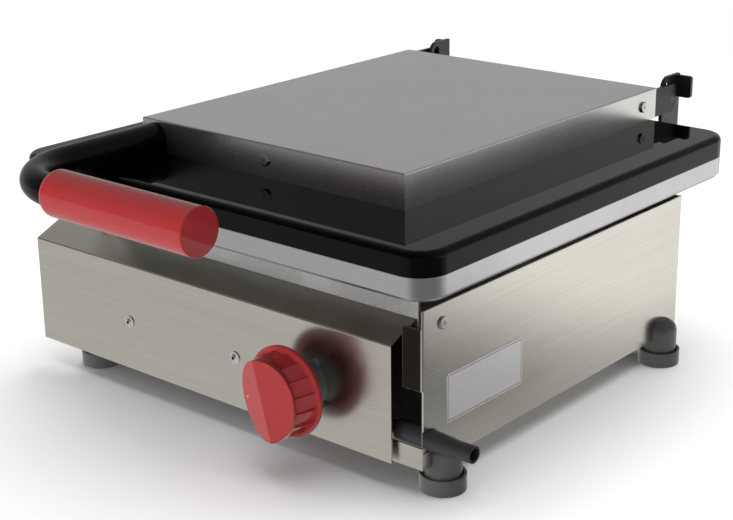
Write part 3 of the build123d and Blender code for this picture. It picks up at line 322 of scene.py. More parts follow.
@dataclass(frozen=True)
class Finish:
    """A finish with grain, wear at the edges and soft smudges. A material is made from each one.

    Attributes:
        name: what the finish is called.
        colour: the clean surface.
        metallic: 1 for bare metal.
        roughness: the clean surface's roughness.
        grain: the direction of its lines, or None for none.
        line_share: how far the lines change the colour.
        bump: height of the grain or of the moulded skin, in metres.
        cloud_share: how far smudges change the roughness.
        worn: the colour at the edges.
        edge: radius of the worn edge, in metres, or 0 for none.
        soft: radius at which sharp edges catch the light, in metres, or 0 for none.
        specular: specular level.
        skin: waves per metre of a moulded or cast skin, used where there is no grain.
    """

    name: str
    colour: Colour
    metallic: float = 0.0
    roughness: float = 0.4
    grain: Axis | None = None
    line_share: float = 0.1
    bump: float = 2e-6
    cloud_share: float = 0.1
    worn: Colour = grey(0.8)
    edge: float = 0.0
    soft: float = 0.0
    specular: float = 0.5
    skin: float = 900.0

    def material(self) -> bpy.types.Material:
        """The material, built the first time it is asked for."""
        title = self.name + "_finish"
        return bpy.data.materials.get(title) or self._build(title)

    def _build(self, title: str) -> bpy.types.Material:
        """Wires the material.

        Args:
            title: the material's name.

        Returns:
            The new material.
        """
        made = bpy.data.materials.new(title)
        graph = Graph.emptied(made)
        place = graph.node("ShaderNodeTexCoord").outputs["Object"]
        colour, roughness, height = self.surface(graph, place)
        if self.edge:
            worn = graph.node("ShaderNodeGroup", {"Vector": place, "Radius": self.edge},
                              node_tree=Effects.wear())
            colour = graph.blend(worn.outputs["Edge"], colour, self.worn)
        bump = graph.node("ShaderNodeBump", {"Height": height, "Distance": self.bump,
                                             "Strength": 1.0})
        if self.soft:
            rounded = graph.node("ShaderNodeBevel", {"Radius": self.soft},
                                 samples=LIT_EDGE_SAMPLES)
            graph.feed(bump.inputs["Normal"], rounded.outputs["Normal"])
        shader = graph.node("ShaderNodeBsdfPrincipled", {
            "Base Color": colour, "Metallic": self.metallic, "Roughness": roughness,
            "Specular IOR Level": self.specular, "Normal": bump.outputs["Normal"],
        })
        graph.node("ShaderNodeOutputMaterial", {"Surface": shader.outputs["BSDF"]})
        return made

    def surface(self, graph: Graph, place: Socket) -> tuple[Socket, Socket, Socket]:
        """The surface before its edges are worn.

        Args:
            graph: the material's graph.
            place: object coordinates.

        Returns:
            The sockets of its colour, its roughness and its height.
        """
        if self.grain:
            stretch = [DRAWN_OUT if a else 1.0 for a in self.grain.value]
            lines = graph.node("ShaderNodeGroup", {"Vector": place, "Stretch": stretch},
                               node_tree=Effects.grain()).outputs
            height = lines["Lines"]
            tone = graph.calc("ADD", graph.calc("MULTIPLY", height, LINES_SHARE),
                              graph.calc("MULTIPLY", lines["Bands"], BANDS_SHARE))
        else:
            tone = height = graph.noise(place, self.skin)
        dark = rgb(*[c * (1 - self.line_share) for c in self.colour[:3]])
        light = rgb(*[min(1.0, c * (1 + self.line_share)) for c in self.colour[:3]])
        colour = graph.blend(graph.ease(tone, 0.3, 0.7), dark, light)
        smudge = graph.node("ShaderNodeGroup", {"Vector": place}, node_tree=Effects.smudge())
        low = self.roughness * (1 - self.cloud_share)
        high = min(1.0, self.roughness * (1 + self.cloud_share))
        wiped = graph.ease(smudge.outputs["Cloud"], 0.0, 1.0, low, high)
        lined = graph.calc("MULTIPLY", graph.calc("SUBTRACT", tone, 0.5),
                           self.roughness * self.cloud_share)
        return colour, graph.calc("ADD", wiped, lined, clamp=True), height


@dataclass(frozen=True)
class SeasonedPlate(Finish):
    """Cast plate, machined pale at its sides and a little browned by heat on its cooking face.

    Attributes:
        browned: colour of the browned patches.
        level: height of that face with the lid down, in metres.
        fade: how far from that height the browning starts to fade and is gone, in metres.
        patches: browned patches per metre.
    """

    browned: Colour = rgb(0.3, 0.25, 0.2)
    level: float = 0.1481
    fade: Pair = (0.3 * MM, 1.5 * MM)
    patches: float = 16.0

    def surface(self, graph: Graph, place: Socket) -> tuple[Socket, Socket, Socket]:
        """The cast surface with the seasoning over its face.

        Args:
            graph: the material's graph.
            place: object coordinates.

        Returns:
            The sockets of its colour, its roughness and its height.
        """
        colour, rough, height = super().surface(graph, place)
        above = graph.calc("SUBTRACT", graph.split(place)["Z"], self.level)
        face = graph.ease(graph.calc("ABSOLUTE", above), self.fade[1], self.fade[0])
        stain = graph.ease(graph.noise(place, self.patches, 5.0, 0.6), 0.35, 0.75, 0.1, 0.6)
        share = graph.calc("MULTIPLY", face, stain)
        return graph.blend(share, colour, self.browned), rough, height


@dataclass(frozen=True)
class HeatedTube(Finish):
    """Burner steel with heat colours in soft patches.

    Attributes:
        straw: the paler heat colour.
        blue: the hotter heat colour.
        patches: patches per metre.
        drawn: how much each axis is stretched in them.
    """

    straw: Colour = rgb(0.35, 0.22, 0.1)
    blue: Colour = rgb(0.08, 0.1, 0.2)
    patches: float = 30.0
    drawn: Triple = (1.0, 1.0, 0.4)

    def surface(self, graph: Graph, place: Socket) -> tuple[Socket, Socket, Socket]:
        """The tube's steel with its heat colours.

        Args:
            graph: the material's graph.
            place: object coordinates.

        Returns:
            The sockets of its colour, its roughness and its height.
        """
        colour, rough, height = super().surface(graph, place)
        drawn = graph.vector("MULTIPLY", place, self.drawn).outputs["Vector"]
        heat = graph.noise(drawn, self.patches, 2.0)
        colour = graph.blend(graph.ease(heat, 0.4, 0.55, 0.0, 0.7), colour, self.straw)
        colour = graph.blend(graph.ease(heat, 0.56, 0.68, 0.0, 0.8), colour, self.blue)
        return colour, rough, height


@dataclass(frozen=True)
class ShadedReturnPanel(Finish):
    """Panel steel whose front return, behind the cover, is darkened by painted shade.

    Attributes:
        dark: painted shade colour of the return.
        behind: how far back the return reaches, along Y, in metres.
        inside: half the distance between the panels' inner faces, in metres.
        fade: how softly the darkening starts along Y and along X, in metres.
        dulled: what it adds to the roughness.
    """

    dark: Colour = rgb(0.03, 0.026, 0.022)
    behind: float = -0.118
    inside: float = 0.1722
    fade: Pair = (8 * MM, 0.4 * MM)
    dulled: float = 0.25

    def surface(self, graph: Graph, place: Socket) -> tuple[Socket, Socket, Socket]:
        """The brushed panel with painted shade on its return.

        Args:
            graph: the material's graph.
            place: object coordinates.

        Returns:
            The sockets of its colour, its roughness and its height.
        """
        colour, rough, height = super().surface(graph, place)
        at = graph.split(place)
        fore = graph.ease(at["Y"], self.behind, self.behind - self.fade[0])
        off = graph.calc("ABSOLUTE", at["X"])
        inner = graph.ease(off, self.inside, self.inside - self.fade[1])
        # Painted shade: near the front, on the panels' inner side, the colour is blended towards
        # dark and the roughness raised.
        share = graph.calc("MULTIPLY", fore, inner)
        rough = graph.calc("ADD", rough, graph.calc("MULTIPLY", share, self.dulled))
        return graph.blend(share, colour, self.dark), rough, height


@dataclass(frozen=True)
class BorderedPlate(Finish):
    """A blank satin plate with a fine line round it.

    Attributes:
        line: colour of the line.
        middle: middle of the plate, along Y and Z, in metres.
        size: its size along Y and Z, in metres.
        inset: how far in from the edge the line runs, in metres.
        width: the line's width, in metres.
    """

    line: Colour = rgb(0.5, 0.05, 0.06)
    middle: Pair = (-0.077, 0.0636)
    size: Pair = (0.0862, 0.0353)
    inset: float = 1.6 * MM
    width: float = 0.6 * MM

    def surface(self, graph: Graph, place: Socket) -> tuple[Socket, Socket, Socket]:
        """The plate's coat with its border line.

        Args:
            graph: the material's graph.
            place: object coordinates.

        Returns:
            The sockets of its colour, its roughness and its height.
        """
        colour, rough, height = super().surface(graph, place)
        at = graph.split(place)
        margins = []
        for key, middle, size in zip("YZ", self.middle, self.size):
            reach = graph.calc("ABSOLUTE", graph.calc("SUBTRACT", at[key], middle))
            margins.append(graph.calc("SUBTRACT", size / 2, reach))
        margin = graph.calc("MINIMUM", *margins)
        off = graph.calc("ABSOLUTE", graph.calc("SUBTRACT", margin, self.inset))
        drawn = graph.ease(off, self.width * 0.5, self.width * 0.35)
        return graph.blend(drawn, colour, self.line), rough, height


STEEL_COLOUR = rgb(0.63, 0.605, 0.54)
STEEL_EDGE = rgb(0.72, 0.7, 0.64)
COVER_STEEL = Finish(
    "cover_steel", STEEL_COLOUR, metallic=1.0, roughness=0.23, grain=Axis.X, line_share=0.04,
    bump=1e-7, cloud_share=0.12, worn=STEEL_EDGE, edge=0.35 * MM,
)
# Both side panels; the front return is darkened by painted shade.
PANEL_STEEL = ShadedReturnPanel(
    "panel_steel", STEEL_COLOUR, metallic=1.0, roughness=0.22, grain=Axis.Y, line_share=0.04,
    bump=1e-7, cloud_share=0.12, worn=STEEL_EDGE, edge=0.35 * MM,
)
HOOD_STEEL = Finish(
    "hood_steel", rgb(0.61, 0.6, 0.58), metallic=1.0, roughness=0.28, grain=Axis.Y,
    line_share=0.025, bump=5e-8, cloud_share=0.04, worn=rgb(0.75, 0.74, 0.71), edge=0.4 * MM,
)
INNER_STEEL = Finish(
    "galvanised_steel", grey(0.5), metallic=1.0, roughness=0.42, line_share=0.16, bump=4e-6,
    cloud_share=0.2, worn=grey(0.7), edge=0.6 * MM, skin=260.0,
)
SOOTED_STEEL = Finish(
    "sooted_shield", rgb(0.012, 0.011, 0.01), roughness=0.7, line_share=0.3, bump=6e-6,
    cloud_share=0.2, specular=0.15, skin=260.0,
)
SCREW_STEEL = Finish(
    "plated_screw", grey(0.55), metallic=1.0, roughness=0.3, line_share=0.08, bump=3e-6,
    worn=grey(0.8), edge=0.3 * MM,
)
RIVET_STEEL = Finish(
    "rivet_head", grey(0.74), metallic=1.0, roughness=0.34, line_share=0.06, bump=3e-6,
)
# Painted shade: a near-black colour that stands in for the shade inside screw drives and rivet
# holes.
RECESS_SHADE = Finish("recess_painted_shade", grey(0.02), roughness=0.6, line_share=0.2, specular=0.2)
POST_BLACK = Finish(
    "black_powder_coat", rgb(0.014, 0.014, 0.015), roughness=0.36, line_share=0.2, bump=1.2e-5,
    cloud_share=0.15, worn=grey(0.08), edge=0.4 * MM, soft=0.5 * MM, skin=1500.0,
)
ARM_BLACK = Finish(
    "black_arm_coat", grey(0.003), roughness=0.36, line_share=0.2, bump=1e-5, cloud_share=0.15,
    worn=grey(0.03), edge=0.4 * MM, specular=0.3, skin=1500.0,
)
TUBE_BLACK = Finish(
    "black_tube_paint", grey(0.0025), roughness=0.25, line_share=0.2, bump=3e-6, cloud_share=0.2,
    specular=0.12, skin=700.0,
)
ENAMEL = Finish(
    "black_enamel", grey(0.001), roughness=0.02, line_share=0.2, bump=3e-7, cloud_share=0.3,
    specular=0.14, skin=60.0,
)
PRESS_METAL = SeasonedPlate(
    "press_aluminium", rgb(0.53, 0.53, 0.535), metallic=1.0, roughness=0.3, grain=Axis.X,
    line_share=0.04, bump=2e-7, cloud_share=0.12, worn=grey(0.78), edge=0.5 * MM, soft=0.8 * MM,
)
GRIDDLE_METAL = SeasonedPlate(
    "griddle_aluminium", grey(0.6), metallic=1.0, roughness=0.38, line_share=0.07, bump=1e-5,
    cloud_share=0.15, worn=grey(0.8), edge=0.6 * MM, soft=0.8 * MM, skin=500.0,
)
WOOL = Finish(
    "mineral_mat", rgb(0.55, 0.52, 0.42), roughness=0.95, line_share=0.3, bump=3e-4, skin=700.0,
)
RED_PLASTIC = Finish(
    "red_plastic", rgb(0.53, 0.042, 0.044), roughness=0.06, line_share=0.03, bump=5e-7,
    cloud_share=0.2, worn=rgb(0.58, 0.06, 0.06), edge=0.4 * MM, soft=0.6 * MM, skin=300.0,
)
BEZEL_GREY = Finish(
    "grey_ring", rgb(0.16, 0.19, 0.19), roughness=0.35, bump=6e-6, cloud_share=0.15,
    worn=rgb(0.18, 0.2, 0.2), edge=0.4 * MM, soft=0.5 * MM, skin=1300.0,
)
FOOT_GREY = Finish(
    "foot_rubber", rgb(0.13, 0.13, 0.128), roughness=0.2, bump=6e-6, cloud_share=0.15,
    worn=grey(0.2), edge=0.5 * MM, soft=0.8 * MM, skin=1500.0,
)
NOZZLE_GREY = Finish(
    "nozzle_plastic", grey(0.036), roughness=0.3, line_share=0.12, bump=5e-6, cloud_share=0.15,
    worn=grey(0.05), edge=0.4 * MM, soft=0.6 * MM, skin=1300.0,
)
BRASS = Finish(
    "cast_brass", rgb(0.34, 0.23, 0.1), metallic=1.0, roughness=0.36, line_share=0.14, bump=1e-5,
    cloud_share=0.2, worn=rgb(0.6, 0.46, 0.22), edge=0.5 * MM, skin=420.0,
)
BURNER_STEEL = HeatedTube(
    "burner_steel", rgb(0.4, 0.39, 0.37), metallic=1.0, bump=5e-6, cloud_share=0.2, skin=300.0,
)
BUSH_STEEL = Finish(
    "turned_bush", grey(0.5), metallic=1.0, roughness=0.25, grain=Axis.Z, bump=3e-6,
    worn=grey(0.7), edge=0.3 * MM,
)
# Painted highlight: the white of the knob's raised dot stands in for the glint on it.
DOT_HIGHLIGHT = Finish("dot_painted_highlight", grey(0.75), line_share=0.04, skin=1600.0)
PLATE_COAT = BorderedPlate("blank_plate", grey(0.92), metallic=0.5, line_share=0.02)


def dress(finish: Finish, nodes: Iterable[str]) -> None:
    """Gives CAD nodes a finish.

    Args:
        finish: the finish.
        nodes: the names of the nodes.
    """
    for name in nodes:
        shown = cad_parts[name]
        shown.data.materials.clear()
        shown.data.materials.append(finish.material())
        log.info("%s: %s", name, finish.name)


def deselect() -> None:
    """Leaves nothing selected, in object mode."""
    if bpy.context.object and bpy.context.object.mode != "OBJECT":
        bpy.ops.object.mode_set(mode="OBJECT")
    bpy.ops.object.select_all(action="DESELECT")


def select(piece: bpy.types.Object, kind: str, wanted: Callable[[object], bool]) -> None:
    """Selects the faces or the edges that a test keeps.

    Args:
        piece: the object in edit mode.
        kind: FACE or EDGE.
        wanted: says of a face or an edge whether it is kept.
    """
    mesh = bmesh.from_edit_mesh(piece.data)
    bpy.ops.mesh.select_mode(type=kind)
    bpy.ops.mesh.select_all(action="DESELECT")
    for part in [p for p in (mesh.faces if kind == "FACE" else mesh.edges) if wanted(p)]:
        part.select = True
    bmesh.update_edit_mesh(piece.data)


def started(size: Triple) -> bpy.types.Object:
    """Adds a block that stands on the world's origin, and opens it for editing.

    Args:
        size: its size along each axis.

    Returns:
        The block, in edit mode.
    """
    deselect()
    bpy.ops.mesh.primitive_cube_add(size=1, scale=size, location=(0, 0, size[2] / 2))
    bpy.ops.object.transform_apply(location=True, rotation=True, scale=True)
    bpy.ops.object.mode_set(mode="EDIT")
    return bpy.context.object


def finished(piece: bpy.types.Object, name: str, finish: Finish, body: str,
             smooth: float = 35.0, place: Matrix | None = None) -> None:
    """Ends a new piece: puts it in its place, smooths it, dresses it and makes it ride.

    Args:
        piece: the new piece, selected and active.
        name: its name.
        finish: its finish.
        body: the CAD body that it moves with.
        smooth: edges flatter than this many degrees are shaded smooth.
        place: where it goes, where its mesh was made at the world's origin.
    """
    if piece.mode != "OBJECT":
        bpy.ops.object.mode_set(mode="OBJECT")
    if place is not None:
        piece.matrix_world = place
    bpy.ops.object.transform_apply(location=True, rotation=True, scale=True)
    bpy.ops.object.shade_smooth_by_angle(angle=math.radians(smooth))
    piece.name = name
    piece.data.name = name
    piece.data.materials.clear()
    piece.data.materials.append(finish.material())
    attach(piece, body)
    deselect()
    log.info("%s rides on %s", name, body)


def facing(normal: Vector, at: Vector) -> Matrix:
    """A place whose Z axis is a surface's normal and whose origin is a point on it."""
    return Matrix.Translation(at) @ normal.to_track_quat("Z", "Y").to_matrix().to_4x4()


CROWN_DEPTH = 0.2 * MM    # how far below its top a head's outer face is read
HEAD_APART = 8 * MM       # points further apart than this are on different heads


def heads(node: str, way: Vector) -> list[Vector]:
    """Finds the heads of the screws of a node that face one way.

    Args:
        node: the CAD node of the screws.
        way: the way the heads face.

    Returns:
        The middle of each head's outer face.
    """
    points = [v.co.copy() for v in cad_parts[node].data.vertices]
    reach = max(p.dot(way) for p in points)
    groups: list[list[Vector]] = []
    for tip in (p for p in points if p.dot(way) > reach - CROWN_DEPTH):
        near = next((g for g in groups if (g[0] - tip).length < HEAD_APART), None)
        if near is None:
            groups.append([tip])
        else:
            near.append(tip)
    middles = [(Vector(map(min, zip(*g))) + Vector(map(max, zip(*g)))) / 2 for g in groups]
    return [m + way * (reach - m.dot(way)) for m in middles]


DRIVE_SIZE = 2.6 * MM     # a drive cross from end to end
DRIVE_HEIGHT = 0.25 * MM
DRIVE_DISH = 0.12 * MM    # its middle below its arms
DRIVE_SINK = 0.15 * MM    # its foot below the top of the head


def drive_mark(name: str, at: Vector, normal: Vector, body: str, turn: float) -> None:
    """A screw's drive, as a cross of painted shade with a sunk middle.

    Args:
        name: its name.
        at: the middle of the screw's head.
        normal: the way the head faces.
        body: the CAD body of the screw.
        turn: how far the cross is turned, in radians.
    """
    deselect()
    bpy.ops.mesh.primitive_grid_add(x_subdivisions=3, y_subdivisions=3, size=DRIVE_SIZE)
    mark = bpy.context.object
    bpy.ops.object.mode_set(mode="EDIT")
    third = DRIVE_SIZE / 3
    select(mark, "FACE", lambda f: min(map(abs, f.calc_center_median().xy)) > third / 2)
    bpy.ops.mesh.delete(type="FACE")
    bpy.ops.mesh.select_all(action="SELECT")
    bpy.ops.mesh.extrude_region_move(TRANSFORM_OT_translate={"value": (0, 0, DRIVE_HEIGHT)})
    select(mark, "FACE", lambda f: f.normal.z > 0.9 and f.calc_center_median().length < third)
    bpy.ops.transform.translate(value=(0, 0, -DRIVE_DISH))
    bpy.ops.mesh.select_all(action="SELECT")
    bpy.ops.mesh.normals_make_consistent(inside=False)
    turned = facing(normal, at) @ Matrix.Rotation(turn, 4, "Z")
    finished(mark, name, RECESS_SHADE, body,
             place=turned @ Matrix.Translation((0, 0, -DRIVE_SINK)))


def mark_screws(node: str, label: str, side: Side, body: str, turn: float) -> None:
    """Marks the drives of a node's screws that face one side.

    Args:
        node: the CAD node of the screws.
        label: the first part of the marks' names.
        side: the side.
        body: the CAD body of the screws.
        turn: how far the first cross is turned, in radians; each further one is turned 1 more.
    """
    way = Vector(side.value)
    for number, at in enumerate(heads(node, way)):
        drive_mark(f"{label}_{side.name.lower()}_{number}", at, way, body, turn + number)


RIM_SHARE = 0.45      # flat rim of a cupped disc, as a share of its radius
BOWL_SHARE = 0.2      # sloping wall inside the rim, as a share of the radius
ROUND_SHARE = 0.35    # rounding of its outer edge, as a share of its smaller size


def cupped_disc(name: str, at: Vector, normal: Vector, radius: float, height: float,
                finish: Finish, body: str, dish: float) -> None:
    """A small turned disc with a rounded rim and a dished middle.

    Args:
        name: its name.
        at: the middle of its back face.
        normal: the way it faces.
        radius: its radius.
        height: how far it stands out.
        finish: its finish.
        body: the CAD body that it moves with.
        dish: depth of the dished middle, as a share of the height.
    """
    deselect()
    bpy.ops.mesh.primitive_cylinder_add(vertices=28, radius=radius, depth=height,
                                        location=(0, 0, height / 2))
    disc = bpy.context.object
    bpy.ops.object.transform_apply(location=True)
    bpy.ops.object.mode_set(mode="EDIT")
    select(disc, "FACE", lambda f: f.normal.z > 0.9)
    bpy.ops.mesh.inset(thickness=radius * RIM_SHARE, depth=0)
    bpy.ops.mesh.inset(thickness=radius * BOWL_SHARE, depth=-height * dish)
    select(disc, "EDGE", lambda e: all(abs(v.co.xy.length - radius) < 1e-6
                                       and v.co.z > height * 0.9 for v in e.verts))
    bpy.ops.mesh.bevel(offset=min(radius, height) * ROUND_SHARE, segments=3, affect="EDGES")
    finished(disc, name, finish, body, 50, facing(normal, at))


@dataclass
class Body:
    """The sheet metal of the base, with its rivets, screws and the blank plate on its right side.

    Attributes:
        cover_nodes: the nodes with a grain from side to side.
        panel_nodes: the nodes with a grain from front to back.
        inner_nodes: the hidden plated sheets.
        screw_nodes: the plated screws.
        rivet_at: where the rivets' heads are, along X and Z, in metres.
        hole_radius: radius of the mark in a rivet's head.
        plate_thickness: thickness of the blank plate.
        plate_corner: radius of its corners.
        plate_edge: its broken outer edge.
    """

    cover_nodes: tuple[str, ...] = ("front_cover", "front_strip", "back_panel")
    panel_nodes: tuple[str, ...] = ("side_panel_left", "side_panel_right")
    inner_nodes: tuple[str, ...] = ("bottom_tray", "cover_bracket", "support_rail_left",
                                    "support_rail_right")
    screw_nodes: tuple[str, ...] = ("panel_screws", "post_screws")
    rivet_at: tuple[Pair, ...] = ((-104.2 * MM, 59.5 * MM), (7.3 * MM, 59.5 * MM))
    hole_radius: float = 1.15 * MM
    plate_thickness: float = 0.25 * MM
    plate_corner: float = 2.2 * MM
    plate_edge: float = 0.08 * MM

    def build(self) -> None:
        """Dresses the sheets and adds the small fittings."""
        dress(COVER_STEEL, self.cover_nodes)
        dress(PANEL_STEEL, self.panel_nodes)
        dress(INNER_STEEL, self.inner_nodes)
        dress(SOOTED_STEEL, ["heat_shield"])
        dress(SCREW_STEEL, self.screw_nodes)
        dress(RIVET_STEEL, ["cover_rivets"])
        self.rivet_marks()
        mark_screws("panel_screws", "panel_screws_mark", Side.RIGHT, "base", 0.3)
        mark_screws("panel_screws", "panel_screws_mark", Side.LEFT, "base", 0.3)
        mark_screws("post_screws", "post_screws_mark", Side.REAR, "base", 0.3)
        self.blank_plate()

    def rivet_marks(self) -> None:
        """The drawn mandrel's hole in the middle of each rivet, as a dished disc of painted shade.
        """
        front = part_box("cover_rivets")[0].y
        for number, (x, z) in enumerate(self.rivet_at):
            cupped_disc(f"rivet_mark_{number}", Vector((x, front + 0.05 * MM, z)),
                        Vector(Side.FRONT.value), self.hole_radius, 0.25 * MM, RECESS_SHADE, "base",
                        dish=0.5)

    def blank_plate(self) -> None:
        """The blank plate on the right side panel, with rounded corners."""
        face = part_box("side_panel_right")[1].x
        thick = self.plate_thickness
        deselect()
        bpy.ops.mesh.primitive_cube_add(
            size=1, location=(face + thick / 2, *PLATE_COAT.middle),
            scale=(thick, *PLATE_COAT.size),
        )
        plate = bpy.context.object
        bpy.ops.object.transform_apply(location=True, rotation=True, scale=True)
        bpy.ops.object.mode_set(mode="EDIT")
        select(plate, "EDGE", lambda e: abs(e.verts[0].co.x - e.verts[1].co.x) > 1e-6)
        bpy.ops.mesh.bevel(offset=self.plate_corner, segments=5, affect="EDGES")
        select(plate, "EDGE", lambda e: all(v.co.x > face + thick * 0.9 for v in e.verts))
        bpy.ops.mesh.bevel(offset=self.plate_edge, segments=1, affect="EDGES")
        finished(plate, "blank_plate", PLATE_COAT, "base")


@dataclass
class Feet:
    """The slotted plugs and the cups that stand on the table.

    Attributes:
        corners: the four corners' names.
    """

    corners: tuple[str, ...] = ("front_left", "front_right", "rear_left", "rear_right")

    def build(self) -> None:
        """Dresses the feet."""
        dress(FOOT_GREY, [f"{part}_{c}" for part in ("foot", "foot_cup") for c in self.corners])


@dataclass
class Hearth:
    """The griddle plate, the burner under it and the gas parts.

    Attributes:
        brass_nodes: the cast gas fittings.
        cradle_nodes: the brackets that carry the burner.
    """

    brass_nodes: tuple[str, ...] = ("gas_valve", "gas_manifold", "gas_injector")
    cradle_nodes: tuple[str, ...] = ("burner_cradle_front", "burner_cradle_rear")

    def build(self) -> None:
        """Dresses the hearth."""
        dress(GRIDDLE_METAL, ["griddle_plate"])
        dress(BURNER_STEEL, ["burner_tube"])
        dress(BRASS, self.brass_nodes)
        dress(INNER_STEEL, self.cradle_nodes)
        dress(NOZZLE_GREY, ["gas_inlet"])


@dataclass
class Control:
    """The knob with its pointer, its ring on the cover and the valve's stem.

    Attributes:
        axis: the knob's axis, along X and Z.
        lug_radius: how far the ring's lugs are from that axis.
        lug_angles: where they are round it, in degrees from +X towards +Z.
        lug_size: a lug outwards from the axis, round it and in height.
        lug_taper: size of its outer end beside its foot.
        lug_round: rounding of its edges.
        lean: how far the ridge of the knob's roof leans to the left of upright, in degrees.
        slope: fall of the roof to each side of the ridge.
        pointer_at: place of the raised dot with its painted highlight, outwards to the left of the
            ridge and along it.
        pointer_radius: the mark's radius.
        pointer_height: its height.
        pointer_sink: how deep its foot is in the roof.
    """

    axis: Pair = (76.2 * MM, 59.6 * MM)
    lug_radius: float = 20.4 * MM
    lug_angles: Pair = (60.0, -40.0)
    lug_size: Triple = (6 * MM, 4.4 * MM, 3 * MM)
    lug_taper: float = 0.78
    lug_round: float = 0.6 * MM
    lean: float = 15.0
    slope: float = 0.29
    pointer_at: Pair = (17.5 * MM, 2.5 * MM)
    pointer_radius: float = 0.8 * MM
    pointer_height: float = 0.3 * MM
    pointer_sink: float = 0.1 * MM

    def build(self) -> None:
        """Dresses the knob and its fittings, and adds the ring's lugs and the pointer."""
        dress(RED_PLASTIC, ["knob"])
        dress(BEZEL_GREY, ["knob_bezel"])
        dress(SCREW_STEEL, ["spring_cup", "valve_stem"])
        self.lugs()
        self.pointer()

    def pointer(self) -> None:
        """The small raised dot that shows where the knob points, on the left of its roof; its
        white is a painted highlight.
        """
        lean = math.radians(self.lean)
        out = Vector(Side.FRONT.value)
        along = Vector((-math.sin(lean), 0, math.cos(lean)))
        left = out.cross(along)
        crown = Vector((self.axis[0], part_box("knob")[0].y, self.axis[1]))
        reach, run = self.pointer_at
        at = crown + along * run + left * reach - out * self.slope * reach
        cupped_disc("pointer_dot_highlight", at - out * self.pointer_sink,
                    (out + left * self.slope).normalized(), self.pointer_radius,
                    self.pointer_height, DOT_HIGHLIGHT, "knob", dish=0.2)

    def lugs(self) -> None:
        """The moulded lugs at the foot of the ring, against the cover."""
        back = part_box("front_cover")[0].y
        for number, angle in enumerate(self.lug_angles):
            turn = math.radians(angle)
            at = Vector((self.axis[0] + self.lug_radius * math.cos(turn), back,
                         self.axis[1] + self.lug_radius * math.sin(turn)))
            lug = started(self.lug_size)
            select(lug, "FACE", lambda f: f.normal.z > 0.9)
            bpy.ops.transform.resize(value=(self.lug_taper, self.lug_taper, 1))
            select(lug, "EDGE", lambda e: True)
            bpy.ops.mesh.bevel(offset=self.lug_round, segments=2, affect="EDGES")
            seat = facing(Vector(Side.FRONT.value), at)
            finished(lug, f"ring_lug_{number}", BEZEL_GREY, "base",
                     place=seat @ Matrix.Rotation(-turn, 4, "Z"))


@dataclass
class Lid:
    """The press plate, the enamelled pan, the hood and what fastens them.

    Attributes:
        plated_nodes: brackets and screws.
        screw_turns: how far the hood's screws are turned on each side, in radians.
    """

    plated_nodes: tuple[str, ...] = ("lid_bolts", "hood_screws", "hood_bracket")
    screw_turns: tuple = ((Side.FRONT, 0.5), (Side.RIGHT, 1.5), (Side.LEFT, -0.5))

    def build(self) -> None:
        """Dresses the lid and marks its screws."""
        dress(PRESS_METAL, ["press_plate"])
        dress(ENAMEL, ["lid_pan"])
        dress(WOOL, ["insulation_pad"])
        dress(HOOD_STEEL, ["hood"])
        dress(SCREW_STEEL, self.plated_nodes)
        for side, turn in self.screw_turns:
            mark_screws("hood_screws", "hood_screw_mark", side, "lid", turn)


@dataclass
class Handle:
    """The bent tube, its straps and its grip.

    Attributes:
        strap_nodes: the straps that hold the tube.
    """

    strap_nodes: tuple[str, ...] = ("handle_strap_front", "handle_strap_rear")

    def build(self) -> None:
        """Dresses the handle."""
        dress(TUBE_BLACK, ["handle_tube"])
        dress(INNER_STEEL, self.strap_nodes)
        dress(RED_PLASTIC, ["handle_grip"])


@dataclass
class Hinge:
    """The slotted posts, the bushes that rise in them, the arms and the rod.

    Attributes:
        sides: the two sides' names.
    """

    sides: tuple[str, ...] = ("left", "right")

    def build(self) -> None:
        """Dresses the hinge."""
        dress(POST_BLACK, [f"hinge_post_{side}" for side in self.sides] + ["pivot_rod"])
        dress(ARM_BLACK, [f"lid_arm_{side}" for side in self.sides])
        dress(BUSH_STEEL, [f"slot_bush_{side}" for side in self.sides])


class Reach(Enum):
    """What a lamp lights, as Blender's state of the floor in the lamp's list."""

    FLOOR_ALONE = "INCLUDE"
    ALL_BUT_FLOOR = "EXCLUDE"


@dataclass(frozen=True)
class Lamp:
    """A square soft box that faces the object and isn't mirrored in it.

    Attributes:
        name: its name.
        at: its place, in metres.
        size: its side, in metres.
        power: its power in watts.
        reach: what it lights.
        aim: the point that it faces.
    """

    name: str
    at: Triple
    size: float
    power: float
    reach: Reach
    aim: Triple = (0.0, 0.0, 0.08)

    def build(self, floor: bpy.types.Object) -> None:
        """Hangs the lamp.

        Args:
            floor: the floor.
        """
        data = bpy.data.lights.new(self.name, "AREA")
        data.shape = "SQUARE"
        data.size = self.size
        data.energy = self.power
        lamp = bpy.data.objects.new(self.name, data)
        bpy.context.scene.collection.objects.link(lamp)
        lamp.location = self.at
        lamp.rotation_mode = "QUATERNION"
        lamp.rotation_quaternion = (Vector(self.aim) - Vector(self.at)).to_track_quat("-Z", "Y")
        lamp.visible_glossy = False
        lit = bpy.data.collections.new(self.name + "_receivers")
        lit.objects.link(floor)
        lamp.light_linking.receiver_collection = lit
        lit.collection_objects[0].light_linking.link_state = self.reach.value


